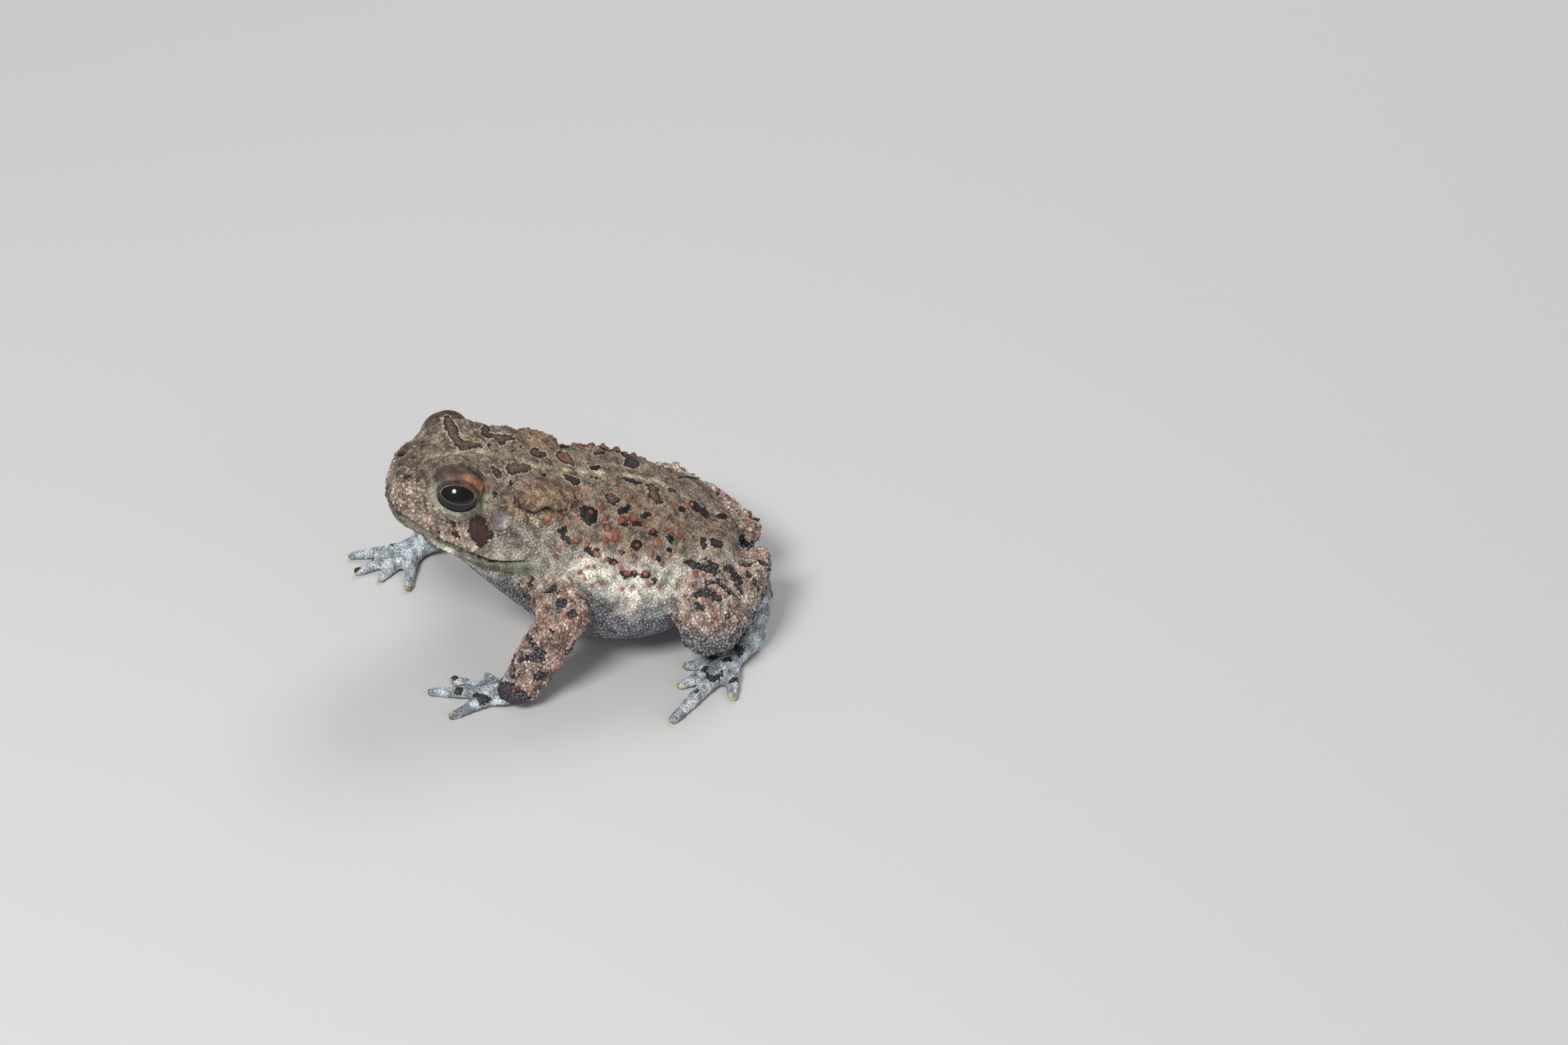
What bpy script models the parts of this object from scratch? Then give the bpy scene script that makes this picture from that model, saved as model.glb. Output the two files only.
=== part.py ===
"""American toad at life size, sitting with its head up, as closed solids.

Metres, +Z up. The head points to -Y, so the toad's left side is at +X. It stands on z = 0.
Lengths below are in millimetres and are turned into metres where the meshes are made.
"""

import math
import random

import bmesh
import bpy
from mathutils import Matrix, Vector
from mathutils.bvhtree import BVHTree

MM = 0.001

UP = Vector((0.0, 0.0, 1.0))
FLOOR_POINT = (0.0, 0.0, 0.0)

# Driving dimensions
GAP = 0.3
SNOUT_Y = -31.1
VENT_Y = 28.8
SNOUT_CAP = 3.0
VENT_CAP = 5.0
BELLY_POWER = 2.1

# Sections of head and trunk: place along Y, top, bottom, height of the widest point, half width,
# and the power of the upper curve, from round (2) to boxy
BODY_SECTIONS = (
    (-28.2, 34.6, 25.9, 28.2, 6.7, 2.5),
    (-24.0, 35.6, 22.3, 26.2, 9.4, 2.5),
    (-20.0, 36.0, 18.2, 24.6, 10.8, 2.5),
    (-15.0, 35.8, 12.2, 22.6, 11.9, 2.5),
    (-10.0, 34.2, 7.0, 20.6, 12.9, 2.4),
    (-5.0, 31.8, 3.4, 17.8, 14.8, 2.3),
    (1.0, 30.2, 1.7, 15.4, 17.4, 2.2),
    (7.0, 29.2, 1.3, 14.2, 18.6, 2.1),
    (13.0, 27.2, 1.4, 13.2, 17.2, 2.0),
    (18.0, 24.2, 2.4, 12.8, 14.2, 2.0),
    (23.8, 19.2, 5.4, 12.4, 9.0, 2.0),
)
SHOULDER_CENTRE = (10.4, -3.0, 19.0)
SHOULDER_RADII = (6.2, 7.0, 7.6)
HIP_CENTRE = (7.0, 20.0, 14.6)
HIP_RADII = (6.0, 7.0, 6.6)

# Eyes and lids
EYE_CENTRE = (8.6, -20.7, 33.9)
EYE_RADIUS = 3.7
LID_THICKNESS = 0.65
BROW_CENTRE = (7.0, -20.2, 34.2)
BROW_RADII = (4.2, 5.3, 4.4)
LID_AXIS = (0.94, -0.20, 0.28)
LID_TILT = 12.0
LID_SIDE_ANGLE = 58.0
LID_UPPER_ANGLE = 41.0
LID_LOWER_ANGLE = 54.0
LID_SIDES = 28
LID_START = 0.4
LID_REACH = 6.5
LID_TOP = 8.0

# Head forms
PAROTOID_CENTRE = (7.7, -7.2, 30.4)
PAROTOID_RADII = (3.9, 5.8, 2.7)
PAROTOID_TILT = 30.0
PAROTOID_TOE_IN = 8.0
TEMPLE_CENTRE = (5.6, -12.2, 32.9)
TEMPLE_RADII = (4.0, 5.0, 3.1)
CREST_PATHS = (
    ((3.4, -25.2, 34.9), (3.9, -20.5, 36.6), (4.4, -15.6, 36.3)),
    ((4.4, -15.6, 36.2), (7.6, -15.2, 35.4), (10.2, -14.9, 33.4)),
    ((7.0, -25.0, 34.2), (4.9, -27.6, 34.2), (2.9, -29.3, 33.6)),
)
CREST_RADIUS = 0.95
CREST_SINK = 0.35
TYMPANUM_PLACE = (-14.1, 30.2)
TYMPANUM_RADIUS = 1.9
TYMPANUM_RIM = 0.5
TYMPANUM_POINTS = 18
NOSTRIL_PLACE = (2.1, -28.7)
NOSTRIL_RADIUS = 0.42
NOSTRIL_DEPTH = 0.8
MOUTH_LINE = ((1.5, -31.1, 27.7), (4.4, -29.6, 27.3), (6.5, -27.0, 26.5), (9.3, -22.2, 24.3),
              (11.0, -17.3, 23.1), (11.8, -13.2, 21.9), (12.2, -9.0, 21.5))
MOUTH_WIDTH = 0.42
LIP_RADIUS = 0.75
LIP_HEIGHT = 0.95

# The cut between head and trunk leans back from the throat to behind the glands
NECK_POINT = (0.0, -3.6, 24.0)
NECK_TILT = 26.0

# Limbs of each side: joint centres, radii at them, and tips of fingers and toes
ARMS = {
    "l": {
        "shoulder": (10.5, -6.5, 18.0),
        "elbow": (19.0, -4.3, 14.9),
        "wrist": (21.9, -12.0, 3.4),
        "palm": (20.9, -15.2, 1.3),
        "fingers": ((14.9, -16.6), (15.4, -22.4), (18.0, -26.5), (24.8, -24.0)),
    },
    "r": {
        "shoulder": (-10.5, -7.0, 18.0),
        "elbow": (-19.8, -9.0, 14.6),
        "wrist": (-21.5, -20.3, 3.4),
        "palm": (-20.4, -23.8, 1.3),
        "fingers": ((-10.2, -26.2), (-13.6, -30.6), (-16.0, -34.2), (-20.8, -34.6)),
    },
}
ARM_RADII = {"shoulder": 4.6, "elbow": 3.7, "forearm": 3.6, "wrist": 3.2, "hand": 2.4}
PALM_RADII = (2.9, 2.7, 1.4)
FINGER_RADII = (1.3, 1.15, 1.0, 0.9)

LEG = {
    "hip": (6.0, 21.0, 15.0),
    "knee": (16.6, 19.3, 12.0),
    "calf": (17.3, 20.6, 9.4),
    "heel": (4.2, 31.0, 11.6),
    "ankle": (13.0, 29.4, 2.1),
    "sole": (18.6, 24.0, 1.4),
    "toes": ((14.2, 20.8), (17.2, 17.0), (22.2, 15.0), (31.0, 12.0), (26.4, 23.2)),
}
LEG_RADII = {"hip": 5.4, "thigh": 5.4, "knee": 4.9, "calf": 5.2, "heel": 2.7, "ankle": 2.0}
CALF_BULGE = (0.8, 0.6, 0.2)
CALF_MIDDLE_RADIUS = 4.3
TARSUS_RADII = (2.3, 1.95, 2.0)
TARSUS_BOW = (0.4, 0.9, 0.6)
SOLE_RADIUS = 1.5
TOE_RADII = (1.45, 1.25, 1.05, 0.9)
TOE_ROOTS = (0.45, 0.75, 1.0, 1.0, 0.9)
WEB_REACH = ((0.55, 0.5), (0.55, 0.5), (0.55, 0.42), (0.42, 0.5))
WEB_BOTTOM = 0.15
WEB_THICKNESS = 0.9

# Shares of a finger's or toe's length, with the height of its axis there
DIGIT_SHAPE = ((0.1, 1.2), (0.45, 1.15), (0.75, 0.75), (1.0, 0.55))

# The largest warts of the left flank: place along Y, lean of the ray from the body's axis in
# degrees, radius; the rest of back and limbs is a seeded draw
AXIS_HEIGHT = 14.0
LEFT_WARTS = (
    (1.4, 32.0, 0.9), (3.3, 29.0, 0.7), (5.1, 22.0, 1.0), (6.3, 37.0, 0.85), (8.5, 37.0, 1.0),
    (3.7, 42.0, 0.75), (4.9, 48.0, 0.95), (3.1, 49.5, 0.75), (1.6, 56.0, 0.75), (-1.7, 48.0, 0.75),
    (8.5, 53.0, 0.95), (12.0, 53.0, 0.85), (11.6, 45.0, 0.8), (5.8, 66.0, 0.95), (9.4, 69.0, 0.85),
    (13.4, 14.0, 1.2),
)
DRAWN_LEFT_FROM = 13.5
BACK_SEED = 7
ARM_SEEDS = {"l": 11, "r": 12}
THIGH_SEED = 21
SHANK_SEED = 22
BACK_WARTS = 62
LIMB_WARTS = 12
WART_RADIUS = (0.65, 1.25)
FLANK_WART_SHARE = 0.75
LIMB_WART_RADIUS = (0.55, 0.9)
WART_SPACING = 2.4
LIMB_WART_SPACING = 2.0
MIDLINE_STRIPE = 1.6

# Mesh sizes
SMOOTH_VOXEL = 0.55
DETAIL_VOXEL = 0.38
HEAD_VOXEL = 0.26
LIMB_VOXEL = 0.45
HEAD_TRIANGLES = 3400
TORSO_TRIANGLES = 3200
ARM_TRIANGLES = 1150
THIGH_TRIANGLES = 390
SHANK_TRIANGLES = 390
FOOT_TRIANGLES = 720
EYE_SEGMENTS = 20
ROUNDING_ANGLE = 50.0

COLOURS = {
    "head": (0.235, 0.175, 0.110),
    "torso": (0.250, 0.190, 0.125),
    "eye": (0.030, 0.026, 0.018),
    "upper_arm": (0.360, 0.215, 0.135),
    "forearm": (0.340, 0.200, 0.130),
    "hand": (0.270, 0.290, 0.280),
    "thigh": (0.300, 0.220, 0.150),
    "shank": (0.320, 0.210, 0.140),
    "foot": (0.270, 0.290, 0.290),
}
SKIN_ROUGHNESS = 0.6
EYE_ROUGHNESS = 0.12


def clear_scene():
    for item in list(bpy.data.objects):
        bpy.data.objects.remove(item, do_unlink=True)


def make_collection(name):
    collection = bpy.data.collections.new(name)
    bpy.context.scene.collection.children.link(collection)
    return collection


def make_material(name, colour, roughness):
    material = bpy.data.materials.new(name)
    material.use_nodes = True
    shader = material.node_tree.nodes["Principled BSDF"]
    shader.inputs["Base Color"].default_value = (*colour, 1.0)
    shader.inputs["Roughness"].default_value = roughness
    shader.inputs["Metallic"].default_value = 0.0
    return material


def smooth_between(places, values, place):
    """Value at a place on a smooth curve through the given values (Catmull-Rom)."""
    last = len(places) - 1
    if place <= places[0]:
        return values[0]
    if place >= places[last]:
        return values[last]
    step = max(i for i in range(last) if places[i] <= place)
    before = max(step - 1, 0)
    after = min(step + 2, last)
    length = places[step + 1] - places[step]
    share = (place - places[step]) / length
    slope_in = (values[step + 1] - values[before]) / (places[step + 1] - places[before]) * length
    slope_out = (values[after] - values[step]) / (places[after] - places[step]) * length
    square = share * share
    cube = square * share
    return ((2 * cube - 3 * square + 1) * values[step] + (cube - 2 * square + share) * slope_in
            + (3 * square - 2 * cube) * values[step + 1] + (cube - square) * slope_out)


def mirrored(point, side):
    return (point[0] * side, point[1], point[2])


def add_ball(mesh, centre, radii, turn=None, segments=24):
    """Adds an ellipsoid, turned about its centre by an optional matrix."""
    rings = max(4, segments * 2 // 3)
    ball = bmesh.ops.create_uvsphere(mesh, u_segments=segments, v_segments=rings, radius=1.0)
    shape = Matrix.Diagonal((radii[0], radii[1], radii[2], 1.0))
    if turn is not None:
        shape = turn.to_4x4() @ shape
    place = Matrix.Scale(MM, 4) @ Matrix.Translation(centre) @ shape
    bmesh.ops.transform(mesh, matrix=place, verts=ball["verts"])


def signed_power(value, power):
    return math.copysign(abs(value) ** power, value)


def add_trunk(mesh):
    """Adds head and trunk as one round-ended loft through the body's sections."""
    places = [section[0] for section in BODY_SECTIONS]
    columns = [[section[k] for section in BODY_SECTIONS] for k in range(1, 6)]
    ball = bmesh.ops.create_uvsphere(mesh, u_segments=48, v_segments=64, radius=1.0)
    for vert in ball["verts"]:
        share = math.acos(max(-1.0, min(1.0, vert.co.z))) / math.pi
        eased = 0.6 * share + 0.4 * (0.5 - 0.5 * math.cos(math.pi * share))
        y = SNOUT_Y + (VENT_Y - SNOUT_Y) * eased
        top, bottom, wide, half, roundness = (smooth_between(places, column, y) for column in columns)
        cap = 1.0
        if y < SNOUT_Y + SNOUT_CAP:
            cap = math.sqrt(max(0.0, 1.0 - ((SNOUT_Y + SNOUT_CAP - y) / SNOUT_CAP) ** 2))
        if y > VENT_Y - VENT_CAP:
            cap = math.sqrt(max(0.0, 1.0 - ((y - VENT_Y + VENT_CAP) / VENT_CAP) ** 2))
        around = math.atan2(vert.co.y, vert.co.x)
        upper = math.sin(around) >= 0.0
        power = 2.0 / (roundness if upper else BELLY_POWER)
        height = top - wide if upper else wide - bottom
        across = signed_power(math.cos(around), power) * half * cap
        rise = signed_power(math.sin(around), power) * height * cap
        vert.co = Vector((across, y, wide + rise)) * MM


def add_limb(mesh, points, radii, segments=16, rings=24):
    """Adds a round-ended limb along points, with its radius given at each of them."""
    stops = [Vector(point) for point in points]
    marks = [0.0]
    for i in range(1, len(stops)):
        marks.append(marks[-1] + (stops[i] - stops[i - 1]).length)
    length = marks[-1]
    ball = bmesh.ops.create_uvsphere(mesh, u_segments=segments, v_segments=rings, radius=1.0)
    for vert in ball["verts"]:
        share = math.acos(max(-1.0, min(1.0, vert.co.z))) / math.pi
        share = 0.5 * share + 0.5 * (0.5 - 0.5 * math.cos(math.pi * share))
        along = -radii[0] + (length + radii[0] + radii[-1]) * share
        held = min(max(along, 0.0), length)
        radius = smooth_between(marks, radii, held)
        past = along - held
        ring = math.sqrt(max(0.0, 1.0 - (past / radius) ** 2))
        centre = path_point(stops, marks, held)
        ahead = path_point(stops, marks, min(held + 0.02 * length, length))
        behind = path_point(stops, marks, max(held - 0.02 * length, 0.0))
        tangent = (ahead - behind).normalized()
        side = tangent.cross(UP)
        if side.length < 0.2:
            side = tangent.cross(Vector((0.0, 1.0, 0.0)))
        side.normalize()
        up = side.cross(tangent)
        around = math.atan2(vert.co.y, vert.co.x)
        offset = (side * math.cos(around) + up * math.sin(around)) * radius * ring
        vert.co = (centre + tangent * past + offset) * MM


def path_point(stops, marks, along):
    return Vector([smooth_between(marks, [stop[k] for stop in stops], along) for k in range(3)])


def add_plate(mesh, corners, bottom, thickness):
    """Adds a flat plate with the given corners in plan, as the web between toes."""
    verts = [mesh.verts.new(Vector((x, y, bottom)) * MM) for x, y in corners]
    face = mesh.faces.new(verts)
    raised = bmesh.ops.extrude_face_region(mesh, geom=[face])
    top = [item for item in raised["geom"] if isinstance(item, bmesh.types.BMVert)]
    bmesh.ops.translate(mesh, vec=Vector((0.0, 0.0, thickness * MM)), verts=top)


def object_from(mesh, name, collection):
    """Makes an object of closed forms, with their faces pointing out."""
    bmesh.ops.recalc_face_normals(mesh, faces=mesh.faces)
    if mesh.calc_volume(signed=True) < 0.0:
        bmesh.ops.reverse_faces(mesh, faces=mesh.faces)
    data = bpy.data.meshes.new(name)
    mesh.to_mesh(data)
    mesh.free()
    item = bpy.data.objects.new(name, data)
    collection.objects.link(item)
    return item


def apply_modifiers(item):
    """Replaces an object's mesh by what its modifiers make of it."""
    graph = bpy.context.evaluated_depsgraph_get()
    made = bpy.data.meshes.new_from_object(item.evaluated_get(graph))
    item.modifiers.clear()
    old = item.data
    item.data = made
    bpy.data.meshes.remove(old)
    made.name = item.name


def fuse(item, voxel, smoothing):
    """Fuses overlapping closed forms into one skin and softens the creases between them."""
    remesh = item.modifiers.new("Fuse", "REMESH")
    remesh.mode = "VOXEL"
    remesh.voxel_size = voxel * MM
    soften = item.modifiers.new("Soften", "SMOOTH")
    soften.factor = 0.5
    soften.iterations = smoothing
    apply_modifiers(item)


def thin_out(item, triangles):
    """Brings a dense mesh down to about the given number of triangles."""
    count = sum(len(face.vertices) - 2 for face in item.data.polygons)
    decimate = item.modifiers.new("Thin", "DECIMATE")
    decimate.ratio = min(1.0, triangles / count)
    decimate.use_collapse_triangulate = True
    apply_modifiers(item)


def keep_largest(mesh):
    """Drops every loose piece but the one with the most faces."""
    left = set(mesh.faces)
    pieces = []
    while left:
        seed = left.pop()
        piece = {seed}
        edge_of_search = [seed]
        while edge_of_search:
            face = edge_of_search.pop()
            for edge in face.edges:
                for other in edge.link_faces:
                    if other in left:
                        left.discard(other)
                        piece.add(other)
                        edge_of_search.append(other)
        pieces.append(piece)
    pieces.sort(key=len, reverse=True)
    scraps = [vert for piece in pieces[1:] for face in piece for vert in face.verts]
    bmesh.ops.delete(mesh, geom=list(set(scraps)), context="VERTS")


def cut_away(item, tools):
    """Cuts an object by closed tools and removes the tools."""
    group = bpy.data.collections.new("tools")
    bpy.context.scene.collection.children.link(group)
    for tool in tools:
        for home in list(tool.users_collection):
            home.objects.unlink(tool)
        group.objects.link(tool)
    boolean = item.modifiers.new("Cut", "BOOLEAN")
    boolean.operation = "DIFFERENCE"
    boolean.solver = "MANIFOLD"
    boolean.operand_type = "COLLECTION"
    boolean.collection = group
    apply_modifiers(item)
    for tool in tools:
        data = tool.data
        bpy.data.objects.remove(tool, do_unlink=True)
        bpy.data.meshes.remove(data)
    bpy.data.collections.remove(group)


def tidy_mesh(item):
    """Merges doubled points, drops scraps and leaves triangles only."""
    mesh = bmesh.new()
    mesh.from_mesh(item.data)
    bmesh.ops.remove_doubles(mesh, verts=mesh.verts, dist=0.00001)
    bmesh.ops.dissolve_degenerate(mesh, edges=mesh.edges, dist=0.00001)
    keep_largest(mesh)
    bmesh.ops.triangulate(mesh, faces=mesh.faces)
    mesh.to_mesh(item.data)
    mesh.free()


def cut_by_plane(item, point, normal):
    """Keeps what lies behind a plane and closes the cut."""
    mesh = bmesh.new()
    mesh.from_mesh(item.data)
    everything = mesh.verts[:] + mesh.edges[:] + mesh.faces[:]
    bmesh.ops.bisect_plane(mesh, geom=everything, plane_co=Vector(point) * MM,
                           plane_no=normal, clear_outer=True)
    rim = [edge for edge in mesh.edges if edge.is_boundary]
    bmesh.ops.triangle_fill(mesh, use_beauty=True, edges=rim)
    bmesh.ops.recalc_face_normals(mesh, faces=mesh.faces)
    mesh.to_mesh(item.data)
    mesh.free()
    tidy_mesh(item)


def copy_of(item, name, collection):
    twin = bpy.data.objects.new(name, item.data.copy())
    collection.objects.link(twin)
    return twin


def grown(item, distance, collection):
    """Copies an object with its surface moved outward, to cut a neighbour clear of it."""
    shell = copy_of(item, item.name + "_clearance", collection)
    displace = shell.modifiers.new("Grow", "DISPLACE")
    displace.strength = distance * MM
    displace.mid_level = 0.0
    apply_modifiers(shell)
    return shell


def surface_of(item):
    graph = bpy.context.evaluated_depsgraph_get()
    return BVHTree.FromObject(item, graph)


def surface_point(surface, start, aim):
    """First point of a surface on the way from start towards aim, with its normal, in mm."""
    origin = Vector(start) * MM
    direction = (Vector(aim) * MM - origin).normalized()
    hit, normal, _, _ = surface.ray_cast(origin, direction)
    if hit is None:
        return None, None
    return hit / MM, normal


def lid_directions(side, count):
    """Directions from the eye's centre to the edge of the lids, all the way round."""
    axis = Vector(mirrored(LID_AXIS, side)).normalized()
    back = UP.cross(axis).normalized() * side
    up = axis.cross(back) * side
    tilt = math.radians(LID_TILT)
    rear = back * math.cos(tilt) - up * math.sin(tilt)
    top = up * math.cos(tilt) + back * math.sin(tilt)
    directions = []
    for k in range(count):
        around = 2.0 * math.pi * k / count
        level = math.sin(around)
        edge = LID_UPPER_ANGLE if level > 0.0 else LID_LOWER_ANGLE
        half = math.radians(1.0 / math.hypot(math.cos(around) / LID_SIDE_ANGLE, level / edge))
        spread = rear * math.cos(around) + top * level
        directions.append(axis * math.cos(half) + spread * math.sin(half))
    return axis, directions


def lid_opening(side, collection):
    """A wide cone from the eye's centre out through the gap between the lids."""
    axis, directions = lid_directions(side, LID_SIDES)
    centre = Vector(mirrored(EYE_CENTRE, side))
    mesh = bmesh.new()
    cone = bmesh.ops.create_cone(mesh, cap_ends=True, cap_tris=True, segments=LID_SIDES,
                                 radius1=0.1, radius2=1.0, depth=1.0)
    for vert in cone["verts"]:
        outer = vert.co.z > 0.0
        if math.hypot(vert.co.x, vert.co.y) < 0.01:
            vert.co = (centre + axis * (LID_TOP if outer else 0.0)) * MM
            continue
        turn = math.atan2(vert.co.y, vert.co.x) / (2.0 * math.pi)
        direction = directions[round(turn * LID_SIDES) % LID_SIDES]
        vert.co = (centre + direction * (LID_REACH if outer else LID_START)) * MM
    return object_from(mesh, "opening", collection)


def base_body(collection):
    """Head and trunk with lids, glands, shoulders and hips, as one soft form."""
    mesh = bmesh.new()
    add_trunk(mesh)
    for side in (1, -1):
        add_ball(mesh, mirrored(EYE_CENTRE, side), (EYE_RADIUS + GAP + LID_THICKNESS,) * 3)
        add_ball(mesh, mirrored(BROW_CENTRE, side), BROW_RADII)
        turn = (Matrix.Rotation(math.radians(PAROTOID_TILT * side), 3, "Y")
                @ Matrix.Rotation(math.radians(PAROTOID_TOE_IN * side), 3, "Z"))
        add_ball(mesh, mirrored(PAROTOID_CENTRE, side), PAROTOID_RADII, turn)
        add_ball(mesh, mirrored(TEMPLE_CENTRE, side), TEMPLE_RADII)
        add_ball(mesh, mirrored(SHOULDER_CENTRE, side), SHOULDER_RADII)
        add_ball(mesh, mirrored(HIP_CENTRE, side), HIP_RADII)
    body = object_from(mesh, "body", collection)
    fuse(body, SMOOTH_VOXEL, 10)
    return body


def detailed_body(body, collection):
    """Adds crests, lid edges, lips, the rim of the tympanum and warts to the soft form."""
    surface = surface_of(body)
    mesh = bmesh.new()
    for side in (1, -1):
        for path in CREST_PATHS:
            points = [mirrored((x, y, z - CREST_SINK), side) for x, y, z in path]
            end = CREST_RADIUS * 0.8
            add_limb(mesh, points, (end, CREST_RADIUS, end), segments=10, rings=14)
        add_tympanum(mesh, surface, side)
    for level in (LIP_HEIGHT, -LIP_HEIGHT):
        lip = [point + UP * level for point in mouth_path(surface, -0.4)]
        radii = [0.3] + [LIP_RADIUS] * (len(lip) - 2) + [0.3]
        add_limb(mesh, lip, radii, segments=10, rings=80)
    for place, radius in back_warts(surface):
        add_ball(mesh, place, (radius,) * 3, segments=12)
    mesh.from_mesh(body.data)
    bpy.data.objects.remove(body, do_unlink=True)
    detailed = object_from(mesh, "body", collection)
    fuse(detailed, DETAIL_VOXEL, 2)
    return detailed


def mouth_path(surface, lift):
    """The line of the mouth from its left corner round the snout to its right corner."""
    return list(reversed(mouth_points(surface, 1, lift))) + mouth_points(surface, -1, lift)


def mouth_points(surface, side, lift):
    """Points of the mouth line on one side, lifted off the surface or sunk into it."""
    points = []
    for place in MOUTH_LINE:
        hit, normal, _, _ = surface.find_nearest(Vector(mirrored(place, side)) * MM)
        points.append(hit / MM + normal * lift)
    return points


def add_tympanum(mesh, surface, side):
    """Adds the raised rim round the ear drum, laid along the head's side."""
    y, z = TYMPANUM_PLACE
    centre, normal = surface_point(surface, (30.0 * side, y, z), (0.0, y, z))
    across = normal.cross(UP).normalized()
    up = across.cross(normal)
    ring = []
    for k in range(TYMPANUM_POINTS + 1):
        turn = 2.0 * math.pi * k / TYMPANUM_POINTS
        spot = centre + (across * math.cos(turn) + up * math.sin(turn) * 1.1) * TYMPANUM_RADIUS
        hit, _, _, _ = surface.find_nearest(spot * MM)
        ring.append(hit / MM)
    add_limb(mesh, ring, [TYMPANUM_RIM] * len(ring), segments=8, rings=60)


def back_spot(surface, y, lean):
    """Where the ray at a lean from the vertical leaves the body, with the normal there."""
    aim = Vector((0.0, y, AXIS_HEIGHT))
    turn = math.radians(lean)
    return surface_point(surface, aim + Vector((math.sin(turn), 0.0, math.cos(turn))) * 60.0, aim)


def back_warts(surface):
    """Places and radii of the raised warts of back and flanks."""
    warts = []
    for y, lean, radius in LEFT_WARTS:
        hit, normal = back_spot(surface, y, lean)
        warts.append((hit + normal * radius * 0.05, radius))
    draw = random.Random(BACK_SEED)
    tries = 0
    while len(warts) < BACK_WARTS and tries < 4000:
        tries += 1
        y = draw.uniform(-1.0, 25.0)
        lean = draw.uniform(-105.0, 105.0)
        radius = draw.uniform(*WART_RADIUS)
        if abs(lean) > 70.0:
            radius *= FLANK_WART_SHARE
        hit, normal = back_spot(surface, y, lean)
        taken = lean > 0.0 and y < DRAWN_LEFT_FROM
        if taken or hit is None or abs(hit.x) < MIDLINE_STRIPE:
            continue
        if any((hit - place).length < WART_SPACING for place, _ in warts):
            continue
        warts.append((hit + normal * radius * 0.05, radius))
    return warts


def limb_warts(surface, paths, seed):
    """Places and radii of warts on a limb's upper and outer side."""
    draw = random.Random(seed)
    warts = []
    tries = 0
    while len(warts) < LIMB_WARTS and tries < 600:
        tries += 1
        start_point, end_point = draw.choice(paths)
        middle = Vector(start_point).lerp(Vector(end_point), draw.uniform(0.2, 1.0))
        lean = math.radians(draw.uniform(-20.0, 110.0))
        out = math.copysign(1.0, middle.x)
        direction = Vector((out * math.sin(lean), draw.uniform(-0.6, 0.6), math.cos(lean)))
        hit, normal = surface_point(surface, middle + direction * 30.0, middle)
        if hit is None or any((hit - place).length < LIMB_WART_SPACING for place, _ in warts):
            continue
        radius = draw.uniform(*LIMB_WART_RADIUS)
        warts.append((hit + normal * radius * 0.1, radius))
    return warts


def joint_points(joints, side=1):
    """A limb's joint centres by name."""
    return {name: Vector(mirrored(place, side)) for name, place in joints.items()
            if name not in ("fingers", "toes")}


def arm_form(side_name, collection):
    """A whole arm with its hand, the palm and four fingers laid on the floor."""
    joints = joint_points(ARMS[side_name])
    shoulder, elbow, wrist, palm = (joints[name] for name in ("shoulder", "elbow", "wrist", "palm"))
    mesh = bmesh.new()
    add_limb(mesh, (shoulder, elbow), (ARM_RADII["shoulder"], ARM_RADII["elbow"]))
    add_limb(mesh, (elbow, elbow.lerp(wrist, 0.5), wrist),
             (ARM_RADII["elbow"], ARM_RADII["forearm"], ARM_RADII["wrist"]))
    add_limb(mesh, (wrist, palm), (ARM_RADII["hand"], ARM_RADII["hand"] * 0.75))
    add_ball(mesh, palm, PALM_RADII)
    for tip in ARMS[side_name]["fingers"]:
        add_digit(mesh, palm, tip, FINGER_RADII)
    limb = object_from(mesh, "arm", collection)
    fuse(limb, LIMB_VOXEL, 3)
    paths = ((shoulder, elbow), (elbow, wrist))
    return warty(limb, paths, ARM_SEEDS[side_name], collection)


def add_digit(mesh, root, tip, radii):
    """A finger or toe: raised at the knuckle, with its last stretch on the floor."""
    points = []
    for share, height in DIGIT_SHAPE:
        points.append((root.x + (tip[0] - root.x) * share, root.y + (tip[1] - root.y) * share, height))
    add_limb(mesh, points, radii, segments=12)


def warty(limb, paths, seed, collection):
    """Fuses a draw of warts onto a limb."""
    surface = surface_of(limb)
    mesh = bmesh.new()
    for place, radius in limb_warts(surface, paths, seed):
        add_ball(mesh, place, (radius,) * 3, segments=12)
    mesh.from_mesh(limb.data)
    name = limb.name
    bpy.data.objects.remove(limb, do_unlink=True)
    rough = object_from(mesh, name, collection)
    fuse(rough, LIMB_VOXEL, 1)
    return rough


def thigh_form(side, collection):
    joints = joint_points(LEG, side)
    hip, knee = joints["hip"], joints["knee"]
    mesh = bmesh.new()
    add_limb(mesh, (hip, hip.lerp(knee, 0.5), knee),
             (LEG_RADII["hip"], LEG_RADII["thigh"], LEG_RADII["knee"]))
    limb = object_from(mesh, "thigh", collection)
    fuse(limb, LIMB_VOXEL, 2)
    return warty(limb, ((hip, knee),), THIGH_SEED, collection)


def shank_form(side, collection):
    joints = joint_points(LEG, side)
    calf, heel = joints["calf"], joints["heel"]
    middle = calf.lerp(heel, 0.45) + Vector(mirrored(CALF_BULGE, side))
    mesh = bmesh.new()
    add_limb(mesh, (calf, middle, heel), (LEG_RADII["calf"], CALF_MIDDLE_RADIUS, LEG_RADII["heel"]))
    limb = object_from(mesh, "shank", collection)
    fuse(limb, LIMB_VOXEL, 2)
    return warty(limb, ((calf, heel),), SHANK_SEED, collection)


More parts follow.
